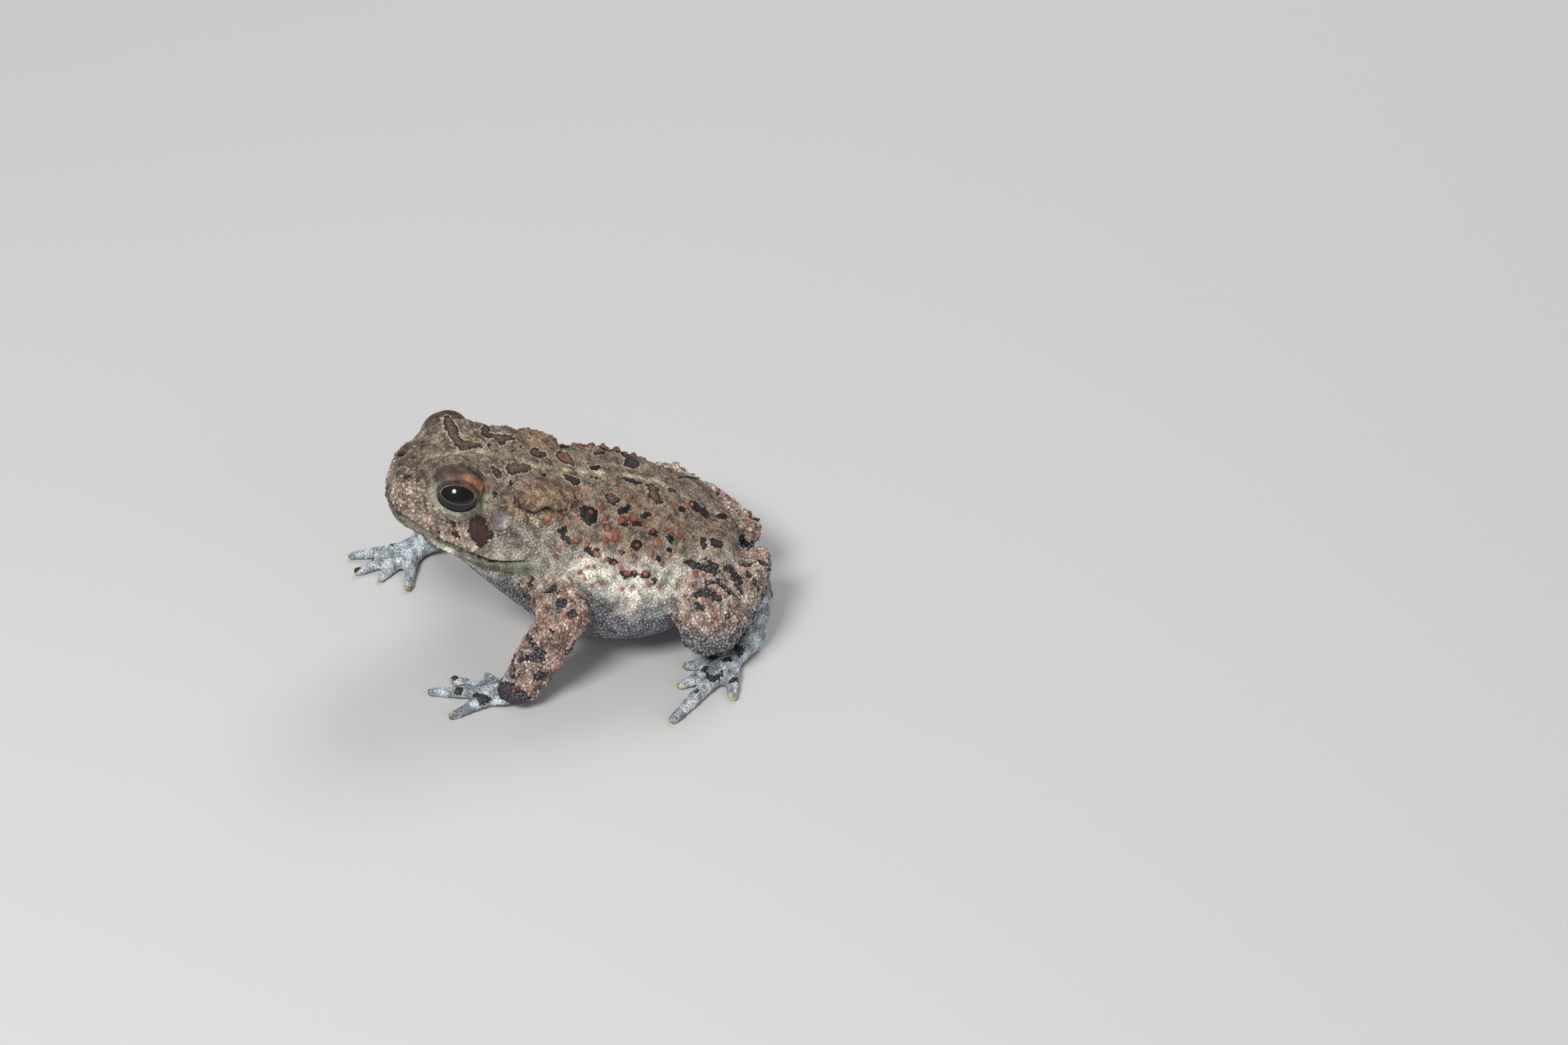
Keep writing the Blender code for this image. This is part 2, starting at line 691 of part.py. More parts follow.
def foot_form(side, collection):
    """The tarsus from the heel down to the ankle, the sole, five toes and their webs."""
    joints = joint_points(LEG, side)
    heel, ankle, sole = joints["heel"], joints["ankle"], joints["sole"]
    mesh = bmesh.new()
    middle = heel.lerp(ankle, 0.5) + Vector(mirrored(TARSUS_BOW, side))
    add_limb(mesh, (heel.lerp(ankle, 0.1), middle, ankle), TARSUS_RADII)
    add_limb(mesh, (ankle, sole), (LEG_RADII["ankle"], SOLE_RADIUS))
    tips = [Vector((x * side, y, 0.0)) for x, y in LEG["toes"]]
    roots = [ankle.lerp(sole, share) for share in TOE_ROOTS]
    for root, tip in zip(roots, tips):
        add_digit(mesh, root, tip, TOE_RADII)
    for k, (share_a, share_b) in enumerate(WEB_REACH):
        inner = roots[k].lerp(tips[k], share_a)
        outer = roots[k + 1].lerp(tips[k + 1], share_b)
        corners = [(point.x, point.y) for point in (roots[k], inner, outer, roots[k + 1])]
        add_plate(mesh, corners, WEB_BOTTOM, WEB_THICKNESS)
    limb = object_from(mesh, "foot", collection)
    fuse(limb, LIMB_VOXEL, 2)
    return limb


def finish_node(item, kind, name, collection):
    """Gives a finished solid its name, material, shading and place in the toad's collection."""
    item.name = name
    item.data.name = name
    for home in list(item.users_collection):
        home.objects.unlink(item)
    collection.objects.link(item)
    item.data.materials.clear()
    roughness = EYE_ROUGHNESS if kind == "eye" else SKIN_ROUGHNESS
    item.data.materials.append(make_material(name, COLOURS[kind], roughness))
    item.data.shade_smooth()
    item.data.set_sharp_from_angle(angle=math.radians(ROUNDING_ANGLE))


def make_eye(side, name, collection):
    bpy.ops.mesh.primitive_uv_sphere_add(segments=EYE_SEGMENTS, ring_count=12, radius=EYE_RADIUS * MM,
                                         location=Vector(mirrored(EYE_CENTRE, side)) * MM,
                                         rotation=(0.0, math.pi / 2, 0.0))
    eye = bpy.context.object
    finish_node(eye, "eye", name, collection)


def eye_sockets(collection):
    tools = []
    for side in (1, -1):
        mesh = bmesh.new()
        add_ball(mesh, mirrored(EYE_CENTRE, side), (EYE_RADIUS + GAP,) * 3, segments=EYE_SEGMENTS)
        tools.append(object_from(mesh, "socket", collection))
        tools.append(lid_opening(side, collection))
    return tools


def nostrils(surface, collection):
    tools = []
    for side in (1, -1):
        x, y = NOSTRIL_PLACE
        hit, normal = surface_point(surface, (x * side, y, 60.0), (x * side, y, 0.0))
        mesh = bmesh.new()
        turn = normal.to_track_quat("Z", "Y").to_matrix()
        radii = (NOSTRIL_RADIUS, NOSTRIL_RADIUS * 1.3, NOSTRIL_DEPTH)
        add_ball(mesh, hit, radii, turn, segments=10)
        tools.append(object_from(mesh, "nostril", collection))
    return tools


def mouth_groove(surface, collection):
    """A thin round tool along the line of the mouth, from corner to corner."""
    path = mouth_path(surface, 0.05)
    mesh = bmesh.new()
    add_limb(mesh, path, [MOUTH_WIDTH] * len(path), segments=6, rings=60)
    return object_from(mesh, "mouth", collection)


def neck_cut(item, side, distance):
    """Keeps the head's side (1) or the trunk's side (-1) of the neck, up to a distance past it."""
    tilt = math.radians(NECK_TILT)
    normal = Vector((0.0, math.cos(tilt), -math.sin(tilt))) * side
    cut_by_plane(item, Vector(NECK_POINT) + normal * distance, normal)


def part_at_neck(body, name, side, triangles, work):
    """One side of the neck: cut roughly, thinned, then cut exactly."""
    piece = copy_of(body, name, work)
    neck_cut(piece, side, 2.0)
    thin_out(piece, triangles)
    neck_cut(piece, side, -GAP / 2)
    return piece


def make_arm(side_name, body, parts, work):
    """Parts an arm at elbow and wrist and cuts it clear of the body."""
    arm = arm_form(side_name, work)
    thin_out(arm, ARM_TRIANGLES)
    cut_by_plane(arm, FLOOR_POINT, -UP)
    joints = joint_points(ARMS[side_name])
    upper_axis = (joints["elbow"] - joints["shoulder"]).normalized()
    lower_axis = (joints["wrist"] - joints["elbow"]).normalized()
    hand_axis = (joints["palm"] - joints["wrist"]).normalized()
    elbow_normal = (upper_axis + lower_axis).normalized()
    wrist_normal = (lower_axis + hand_axis).normalized()
    elbow_gap = elbow_normal * (GAP / 2)
    wrist_gap = wrist_normal * (GAP / 2)
    forearm = copy_of(arm, "forearm", work)
    hand = copy_of(arm, "hand", work)
    cut_away(arm, [grown(body, GAP, work)])
    tidy_mesh(arm)
    cut_by_plane(arm, joints["elbow"] - elbow_gap, elbow_normal)
    cut_by_plane(forearm, joints["elbow"] + elbow_gap, -elbow_normal)
    cut_by_plane(forearm, joints["wrist"] - wrist_gap, wrist_normal)
    cut_by_plane(hand, joints["wrist"] + wrist_gap, -wrist_normal)
    for item, kind in ((arm, "upper_arm"), (forearm, "forearm"), (hand, "hand")):
        finish_node(item, kind, kind + "_" + side_name, parts)


def make_leg(side, side_name, body, parts, work):
    """Thigh, shank and foot, each cut clear of what it lies against."""
    thigh = thigh_form(side, work)
    shank = shank_form(side, work)
    foot = foot_form(side, work)
    thin_out(thigh, THIGH_TRIANGLES)
    thin_out(shank, SHANK_TRIANGLES)
    thin_out(foot, FOOT_TRIANGLES)
    cut_by_plane(foot, FLOOR_POINT, -UP)
    cut_away(shank, [grown(thigh, GAP, work), grown(body, GAP, work)])
    tidy_mesh(shank)
    cut_away(foot, [grown(shank, GAP, work), grown(thigh, GAP, work)])
    tidy_mesh(foot)
    cut_away(thigh, [grown(body, GAP, work)])
    tidy_mesh(thigh)
    for item, kind in ((thigh, "thigh"), (shank, "shank"), (foot, "foot")):
        finish_node(item, kind, kind + "_" + side_name, parts)


def centre_on_floor(parts):
    """Hangs all solids on an empty and moves it so that their box is centred on the origin."""
    root = bpy.data.objects.new("toad_origin", None)
    corners = [item.matrix_world @ vert.co for item in parts.objects for vert in item.data.vertices]
    for axis in (0, 1):
        values = [corner[axis] for corner in corners]
        root.location[axis] = -(min(values) + max(values)) / 2
    for item in parts.objects:
        item.parent = root
    parts.objects.link(root)


def build_toad():
    clear_scene()
    parts = make_collection("american_toad")
    work = make_collection("work")
    body = detailed_body(base_body(work), work)
    surface = surface_of(body)
    torso = part_at_neck(body, "torso", -1, TORSO_TRIANGLES, work)
    open_body = copy_of(body, "open_body", work)
    cut_away(open_body, eye_sockets(work) + nostrils(surface, work) + [mouth_groove(surface, work)])
    fuse(open_body, HEAD_VOXEL, 1)
    head = part_at_neck(open_body, "head", 1, HEAD_TRIANGLES, work)
    bpy.data.objects.remove(open_body, do_unlink=True)
    thin_out(body, HEAD_TRIANGLES)
    for side, side_name in ((1, "l"), (-1, "r")):
        make_arm(side_name, body, parts, work)
        make_leg(side, side_name, body, parts, work)
        make_eye(side, "eye_" + side_name, parts)
    finish_node(head, "head", "head", parts)
    finish_node(torso, "torso", "torso", parts)
    bpy.data.objects.remove(body, do_unlink=True)
    bpy.data.collections.remove(work)
    centre_on_floor(parts)


build_toad()
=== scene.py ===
"""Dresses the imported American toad: skin over the flesh, warts and markings, eyes and stage."""

import itertools
import math
import random

import bmesh
import bpy
import numpy as np
from bpy.props import FloatProperty, FloatVectorProperty, IntProperty, PointerProperty
from mathutils import Matrix, Vector, noise
from mathutils.bvhtree import BVHTree


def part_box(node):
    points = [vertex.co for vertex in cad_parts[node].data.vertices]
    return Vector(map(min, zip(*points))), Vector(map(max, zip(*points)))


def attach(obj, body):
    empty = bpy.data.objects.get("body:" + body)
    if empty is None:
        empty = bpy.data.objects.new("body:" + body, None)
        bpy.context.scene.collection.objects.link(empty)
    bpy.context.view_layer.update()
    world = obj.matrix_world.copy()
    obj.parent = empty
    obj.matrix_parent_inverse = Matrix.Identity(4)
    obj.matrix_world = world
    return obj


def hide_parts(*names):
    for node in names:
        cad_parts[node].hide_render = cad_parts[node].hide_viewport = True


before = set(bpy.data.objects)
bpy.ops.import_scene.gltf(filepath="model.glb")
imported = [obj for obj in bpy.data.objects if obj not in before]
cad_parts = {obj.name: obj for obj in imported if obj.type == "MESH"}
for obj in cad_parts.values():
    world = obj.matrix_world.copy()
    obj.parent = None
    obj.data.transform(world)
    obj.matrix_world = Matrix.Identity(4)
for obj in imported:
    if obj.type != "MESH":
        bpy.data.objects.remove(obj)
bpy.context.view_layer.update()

bl_info = {
    "name": "American toad dressing",
    "version": (1, 0, 0),
    "blender": (4, 5, 0),
    "location": "3D View > Sidebar > Toad",
    "description": "Puts the skin, warts, granules, eyes and stage on the packed toad",
    "category": "Object",
}

MM = 0.001
SIDES = (("l", 1.0), ("r", -1.0))
LIMB_PARTS = ("upper_arm", "forearm", "hand", "thigh", "shank", "foot")
FLESH = ["head", "torso"] + [f"{part}_{side}" for part in LIMB_PARTS for side, _ in SIDES]
MIRROR_X = np.array((-1.0, 1.0, 1.0))
LUMPY_PARTS = ("upper_arm", "forearm", "thigh", "shank")
BAKE_PATCH = 0.003
FAR = 9.0

# Granules: most in one piece, cells in which neighbours are looked for, and kinds: group, slot,
# how pointed, least and greatest height for their width
GRANULES_A_PIECE = 7400
GRID_CELL = 0.5
GRANULE_KINDS = (("body", "back_skin", 1.5, 0.45, 0.85), ("limb", "limb_skin", 1.8, 0.4, 0.8))
GRANULE_VALUES = ("ground", "patch", "fill", "halo", "pale", "speck")

# The photograph's frame, in pixels, and the size of a pixel at the toad, in millimetres
PHOTO_WIDTH = 2352
PHOTO_HEIGHT = 1568
PIXEL_SIZE = 0.112
SENSOR_WIDTH = 36.0

# Landmarks of the head, in millimetres
EYE_CENTRE = np.array((8.587, -19.92, 33.9))
MOUTH_LINE = np.array(
    (
        (0.0, -30.4, 29.2),
        (3.2, -30.1, 28.9),
        (5.2, -29.3, 28.6),
        (6.7, -27.8, 28.1),
        (8.7, -24.5, 26.4),
        (9.8, -22.6, 25.5),
        (10.7, -20.2, 24.5),
        (11.3, -17.6, 23.3),
        (12.0, -15.1, 22.3),
        (12.6, -11.7, 22.0),
        (13.0, -9.6, 22.2),
    )
)
TYMPANUM = np.array((11.29, -13.32, 30.2))
PAROTOID = np.array((7.69, -6.42, 30.4))
PAROTOID_SIZE = np.array((4.7, 6.6, 3.6))

# Half sizes of the eye opening and of the pupil, as fractions of the ball's radius
OPENING_LONG = 0.93
OPENING_HIGH = 0.68
PUPIL_LONG = 0.76
PUPIL_HIGH = 0.41
LID_REACH = 1.6

# Nostril: radius, depth and rim height, and how high the skin stands on a dark patch
NOSTRIL = (0.50, 0.6, 0.08)
PATCH_RISE = 0.30
TORSO_LUMPS = 0.14
LIMB_LUMPS = 0.45

# Lips, and the lids' distance from the ball and thickness, in millimetres
SLIT_WIDTH = 0.28
UPPER_LIP = 0.28
LOWER_LIP = 0.24
LID_CLEARANCE = 0.10
LID_THICKNESS = 0.34
UPPER_LID_EXTRA = 0.46

# Lights: name, place from the target, size, power in watts, and whether wet eyes mirror it
LIGHTS = (
    ("key", (0.42, -0.38, 0.64), 0.30, 5.2, True),
    ("fill", (0.8, 0.5, 0.3), 0.7, 1.6, False),
    ("rim", (-0.5, 0.35, 0.6), 0.4, 2.2, False),
)
WORLD_COLOUR = (0.86, 0.90, 1.0, 1.0)
WORLD_STRENGTH = 0.30

# Heights at which the flank's and the belly's colour begin
FLANK_TOP = 26.5
BELLY_TOP = 17.5

# Places on the photograph, in pixels
NOSTRIL_PIXEL = (611, 716)
LID_CORNER_PIXEL = (732, 746)
EYE_OPENING_PIXEL = (688, 745)
PUPIL_PIXEL = (687, 743)

# Dark patches with a pale outline, as outlines in pixels of the photograph
BROW_BAR = (
    (664, 626), (673, 624), (681, 634), (688, 648), (695, 661), (705, 662), (713, 665), (720, 664),
    (725, 669), (718, 672), (708, 672), (702, 675), (697, 677), (690, 675), (684, 670), (680, 665),
    (677, 659), (671, 649), (667, 640),
)
CROWN_STREAK = (
    (714, 645), (725, 650), (735, 652), (746, 651), (758, 652), (768, 654), (775, 658), (768, 661),
    (761, 663), (753, 668), (745, 662), (735, 657), (723, 651),
)
NAPE_SPOT = ((793, 678), (797, 673), (805, 672), (811, 677), (819, 680), (820, 685), (809, 687), (799, 684))
SHOULDER_OVAL = (
    (831, 683), (837, 677), (846, 676), (854, 682), (859, 690), (863, 700), (854, 698), (843, 693),
)
LID_SPOT = ((735, 700), (741, 698), (747, 704), (752, 709), (753, 716), (749, 720), (743, 715), (739, 709))
GLAND_BAR = (
    (760, 697), (770, 695), (781, 696), (790, 696), (796, 699), (797, 704), (792, 709), (781, 709),
    (775, 710), (769, 714), (762, 710), (759, 703),
)
GLAND_EDGE = ((842, 711), (851, 712), (861, 716), (871, 719), (870, 727), (862, 729), (854, 723), (847, 717))
CHEEK_PATCH = (
    (706, 778), (713, 773), (722, 774), (728, 779), (728, 787), (734, 795), (741, 799), (739, 806),
    (732, 810), (730, 817), (723, 822), (716, 818), (712, 811), (705, 806), (702, 797), (703, 787),
)
FAR_BACK_PATCH = (
    (931, 679), (938, 681), (944, 683), (950, 686), (958, 690), (959, 697), (957, 704), (949, 703),
    (939, 701), (935, 697), (938, 692), (936, 686),
)
SPINE_BAR = ((882, 697), (890, 700), (897, 697), (903, 702), (896, 706), (887, 705))
STRIPE_STREAK = ((883, 714), (895, 715), (908, 719), (896, 719), (886, 717))
LOIN_STREAK = ((930, 717), (941, 716), (954, 721), (966, 724), (962, 728), (950, 726), (938, 722))
LOIN_PATCH = (
    (969, 727), (976, 725), (983, 729), (988, 740), (991, 749), (997, 756), (985, 756), (976, 748),
    (969, 742), (973, 736), (970, 731),
)
SIDE_BROWN = ((905, 744), (912, 740), (924, 743), (934, 751), (927, 755), (919, 758), (911, 752))
RED_RING = (
    (869, 763), (876, 758), (884, 760), (893, 763), (898, 773), (896, 782), (887, 788), (878, 786),
    (871, 780), (873, 771),
)
PATCHES = (
    (BROW_BAR, "brown", 1.0),
    (CROWN_STREAK, "brown", 1.0),
    (NAPE_SPOT, "brown", 1.0),
    (SHOULDER_OVAL, "rust", 1.0),
    (LID_SPOT, "brown", 1.0),
    (GLAND_BAR, "brown", 1.0),
    (GLAND_EDGE, "slate", 1.0),
    (CHEEK_PATCH, "maroon", 0.0),
    (FAR_BACK_PATCH, "slate", 1.0),
    (SPINE_BAR, "black", 0.8),
    (STRIPE_STREAK, "brown", 0.5),
    (LOIN_STREAK, "slate", 0.5),
    (LOIN_PATCH, "brown", 0.8),
    (SIDE_BROWN, "brown", 0.5),
    (RED_RING, "black", 0.3),
)

# Black patches of the near arm and hand, the near hind leg and foot
LIMB_PATCHES = (
    ((812, 888), (822, 891), (831, 887), (838, 890), (842, 887), (833, 878), (829, 878), (822, 884)),
    ((832, 908), (836, 901), (843, 898), (851, 899), (853, 904), (848, 909), (842, 913), (835, 912)),
    ((847, 922), (853, 916), (860, 914), (867, 920), (866, 926), (857, 929), (850, 927)),
    ((818, 941), (825, 943), (833, 949), (830, 952), (823, 949)),
    ((785, 893), (790, 887), (795, 889), (797, 898), (790, 898)),
    ((796, 863), (801, 866), (800, 878), (796, 883), (791, 880), (795, 872)),
    (
        (797, 966), (804, 965), (813, 972), (820, 980), (821, 990), (818, 999), (808, 997), (800, 993),
        (790, 993), (781, 996), (777, 989), (783, 982), (792, 985), (800, 983), (803, 978), (799, 972),
    ),
    ((790, 958), (796, 952), (801, 956), (800, 962), (795, 968), (790, 964)),
    ((762, 1000), (770, 1002), (778, 1006), (774, 1009), (765, 1005)),
    ((767, 1011), (775, 1012), (780, 1017), (774, 1019), (767, 1016)),
    ((798, 1016), (806, 1009), (815, 1007), (823, 1010), (821, 1017), (812, 1021), (803, 1022)),
    (
        (747, 1030), (755, 1021), (763, 1023), (772, 1026), (781, 1032), (790, 1039), (797, 1045),
        (792, 1053), (780, 1057), (765, 1055), (755, 1049), (747, 1042),
    ),
    ((701, 1053), (708, 1043), (716, 1039), (724, 1040), (732, 1045), (739, 1052), (743, 1059), (722, 1061)),
    ((680, 1041), (684, 1032), (693, 1031), (696, 1038), (690, 1043)),
    (
        (1026, 843), (1033, 837), (1045, 844), (1058, 848), (1071, 849),
        (1078, 858), (1071, 864), (1059, 860), (1045, 854),
    ),
    ((1052, 838), (1062, 836), (1075, 846), (1082, 858), (1078, 860), (1069, 848)),
    (
        (1083, 852), (1090, 847), (1099, 850), (1107, 860), (1113, 874),
        (1117, 890), (1109, 896), (1103, 880), (1095, 860),
    ),
    ((1075, 868), (1082, 876), (1092, 882), (1100, 890), (1106, 898), (1098, 893), (1086, 887), (1078, 880)),
    (
        (1040, 893), (1047, 886), (1055, 884), (1057, 878), (1064, 875), (1066, 882), (1071, 889),
        (1083, 893), (1085, 902), (1076, 904), (1068, 900), (1060, 898), (1050, 895), (1043, 899),
    ),
    ((1041, 901), (1050, 903), (1052, 908), (1063, 912), (1058, 917), (1050, 916), (1043, 912)),
    ((1086, 917), (1093, 918), (1098, 926), (1095, 930), (1088, 925)),
    ((1128, 865), (1134, 870), (1140, 884), (1136, 888), (1129, 876)),
    ((1143, 911), (1157, 914), (1155, 935), (1151, 946), (1145, 930)),
    ((1120, 858), (1127, 862), (1126, 870), (1119, 868)),
    ((1100, 970), (1108, 967), (1117, 973), (1117, 981), (1109, 986), (1102, 981)),
    ((1082, 990), (1092, 986), (1101, 988), (1098, 993), (1086, 994)),
    (
        (1061, 1010), (1068, 1014), (1078, 1011), (1084, 1005),
        (1086, 1012), (1078, 1021), (1066, 1024), (1060, 1019),
    ),
    ((1031, 1041), (1038, 1033), (1048, 1031), (1051, 1037), (1040, 1042)),
    ((1015, 1056), (1019, 1049), (1025, 1047), (1025, 1052), (1019, 1058)),
    ((1092, 1020), (1099, 1018), (1108, 1020), (1107, 1025), (1098, 1025), (1092, 1024)),
    ((1055, 1000), (1064, 1000), (1060, 1008), (1052, 1008)),
)

# Soft zones of colour on the head, as outlines in pixels
CHEEK_ZONE = (
    (596, 722), (614, 717), (640, 733), (655, 765), (690, 776), (706, 780), (701, 800), (721, 824),
    (700, 826), (660, 806), (630, 787), (600, 760), (588, 741),
)
JAW_ZONE = ((742, 800), (785, 768), (840, 785), (866, 826), (840, 862), (790, 852), (745, 838), (733, 818))

# Ridges and creases of the head, the creases also darkened with painted shade: height in millimetres, half
# width, then pixels
HEAD_LINES = (
    (0.30, 0.55, ((640, 702), (660, 690), (690, 685), (722, 686), (748, 693))),
    (0.28, 0.50, ((748, 693), (752, 706), (746, 724), (736, 742))),
    (0.16, 0.45, ((604, 707), (622, 702), (642, 700))),
    (
        -0.62, 0.36,
        (
            (774, 749), (780, 759), (790, 769), (802, 772), (812, 768), (821, 762), (832, 768),
            (848, 768), (861, 757), (865, 746),
        ),
    ),
    (
        0.34, 0.55,
        (
            (781, 748), (790, 757), (801, 762), (811, 758), (821, 753), (832, 759), (846, 758),
            (855, 750),
        ),
    ),
    (-0.22, 0.40, ((771, 746), (768, 730), (776, 716), (792, 710))),
    (0.22, 0.50, ((740, 745), (752, 748), (766, 752))),
    (-0.18, 0.35, ((655, 696), (690, 691), (725, 693))),
    (-0.22, 0.45, ((640, 770), (665, 782), (690, 786))),
    (0.18, 0.60, ((610, 762), (640, 785), (672, 805), (705, 822))),
)

# Small dark spots: x, y, half length, half width in pixels, tilt in degrees, fill
SPOTS = (
    (735, 669, 3.5, 2.5, 0, "black"), (781, 671, 3, 2, 80, "black"), (769, 678, 3, 2.5, 0, "black"),
    (765, 725, 4, 4, 0, "black"), (793, 658, 2.5, 2, 0, "black"), (816, 713, 3.5, 2.5, 0, "black"),
    (742, 741, 5, 4, 60, "black"), (679, 784, 7, 3.5, 65, "black"), (684, 803, 8, 4, 45, "black"),
    (658, 798, 3, 2, 0, "black"), (1007, 735, 7, 3.5, 20, "brown"), (936, 765, 12, 6, -20, "black"),
    (845, 795, 9, 5.5, -35, "black"), (849, 808, 11, 5, 50, "brown"), (884, 827, 12, 5, 50, "black"),
    (896, 824, 5, 3.5, 0, "black"), (954, 818, 9, 8.5, 0, "black"), (980, 800, 7, 5.5, 20, "black"),
    (919, 842, 8, 6, 20, "black"), (937, 862, 9, 5, 50, "black"), (951, 861, 6, 5, 0, "black"),
    (968, 863, 9, 6, 0, "black"), (1004, 825, 5, 4, 0, "black"), (1043, 760, 12, 6, 45, "black"),
    (1057, 770, 10, 6, 60, "black"), (1023, 764, 6, 5, 0, "black"), (970, 773, 8, 4, -20, "black"),
    (932, 829, 4, 4, 0, "brown"), (1005, 808, 8, 5, 70, "black"), (988, 838, 6, 4, 60, "black"),
    (982, 872, 5, 4, 60, "black"), (935, 787, 6, 3, 0, "black"), (955, 786, 8, 4, 10, "black"),
    (1083, 775, 9, 5, 10, "black"), (1055, 815, 10, 5, 80, "slate"), (1075, 815, 12, 6, 20, "slate"),
)

# Red and orange warts: x, y, radius in pixels, tone from 0 dark red to 1 pale orange
RED_WARTS = (
    (886, 768, 5, 0.1), (902, 763, 4.5, 0.3), (867, 774, 3.5, 0.3), (908, 779, 4, 0.4),
    (932, 780, 5.5, 0.3), (950, 778, 7, 0.3), (967, 790, 3.5, 0.3), (911, 793, 5, 0.6),
    (925, 796, 3.5, 0.5), (923, 807, 6.5, 0.55), (908, 811, 5, 0.5), (864, 811, 4.5, 0.6),
    (847, 818, 4, 0.4), (839, 826, 3, 0.4), (880, 818, 4, 0.8), (896, 831, 4.5, 0.7),
    (852, 789, 4, 0.5), (821, 778, 5, 0.9), (979, 797, 4.5, 0.1), (985, 815, 5.5, 0.8),
    (976, 831, 4.5, 0.6), (946, 825, 3.5, 0.7), (956, 818, 4, 0.05), (932, 829, 3.5, 0.2),
    (976, 778, 3.5, 0.4), (942, 752, 4, 0.3), (956, 758, 4, 0.3), (934, 730, 3.5, 0.6),
    (947, 745, 3, 0.3), (915, 743, 3.5, 0.2), (866, 733, 3.5, 0.4), (870, 751, 3, 0.4),
    (921, 845, 4, 0.15), (910, 839, 3.5, 0.6), (932, 852, 4.5, 0.7), (939, 860, 4.5, 0.6),
    (952, 859, 3.5, 0.5), (968, 861, 5, 0.8), (992, 845, 4, 0.4), (974, 877, 4, 0.5),
    (989, 879, 4.5, 0.5), (870, 858, 4, 0.4), (881, 851, 3.5, 0.4), (892, 850, 3.5, 0.4),
    (855, 869, 3.5, 0.5), (877, 868, 3, 0.5), (887, 878, 3, 0.5), (903, 875, 4, 0.4),
    (933, 884, 4, 0.4), (948, 880, 3, 0.5), (850, 847, 3, 0.7), (871, 835, 3, 0.7),
    (834, 836, 4, 0.2), (998, 795, 4, 0.4), (1007, 797, 4, 0.4), (1020, 805, 5, 0.4),
    (1013, 825, 4, 0.6), (1004, 833, 4, 0.5), (985, 770, 3, 0.4), (1015, 785, 3.5, 0.4),
    (1023, 786, 3.5, 0.4), (1011, 755, 4, 0.5), (1029, 760, 5, 0.8), (1038, 757, 4.5, 0.8),
    (1043, 862, 4, 0.5), (1035, 878, 4, 0.4), (1060, 862, 4, 0.6), (954, 835, 3, 0.7),
)


def tint(red, green, blue):
    """Linear colour of a display colour given from 0 to 255."""
    return tuple((channel / 255) ** 2.2 for channel in (red, green, blue))


def colour_prop(name, description, default):
    return FloatVectorProperty(
        name=name, description=description, default=default, subtype="COLOR", min=0.0, max=1.0
    )


class ToadShape(bpy.types.PropertyGroup):
    """Sizes of the skin's relief."""

    swell: FloatProperty(
        name="Swell", description="How far the solids swell before they fuse",
        default=0.22 * MM, unit="LENGTH",
    )
    grain: FloatProperty(
        name="Skin grain", description="Edge length of the skin's faces", default=0.415 * MM, unit="LENGTH",
    )
    smooth_steps: IntProperty(name="Smoothing", description="Smoothing passes over the fused skin", default=6)
    cobble: FloatProperty(
        name="Cobble height", description="Height of the coarse bumps of the skin",
        default=0.16 * MM, unit="LENGTH",
    )
    mouth_depth: FloatProperty(
        name="Mouth depth", description="Depth of the line of the mouth", default=0.60 * MM, unit="LENGTH",
    )
    bead_spacing: FloatProperty(
        name="Granule spacing", description="Multiplies the distance between granules", default=1.0,
    )
    seed: IntProperty(name="Seed", description="Seed of the scattered granules and spots", default=11)


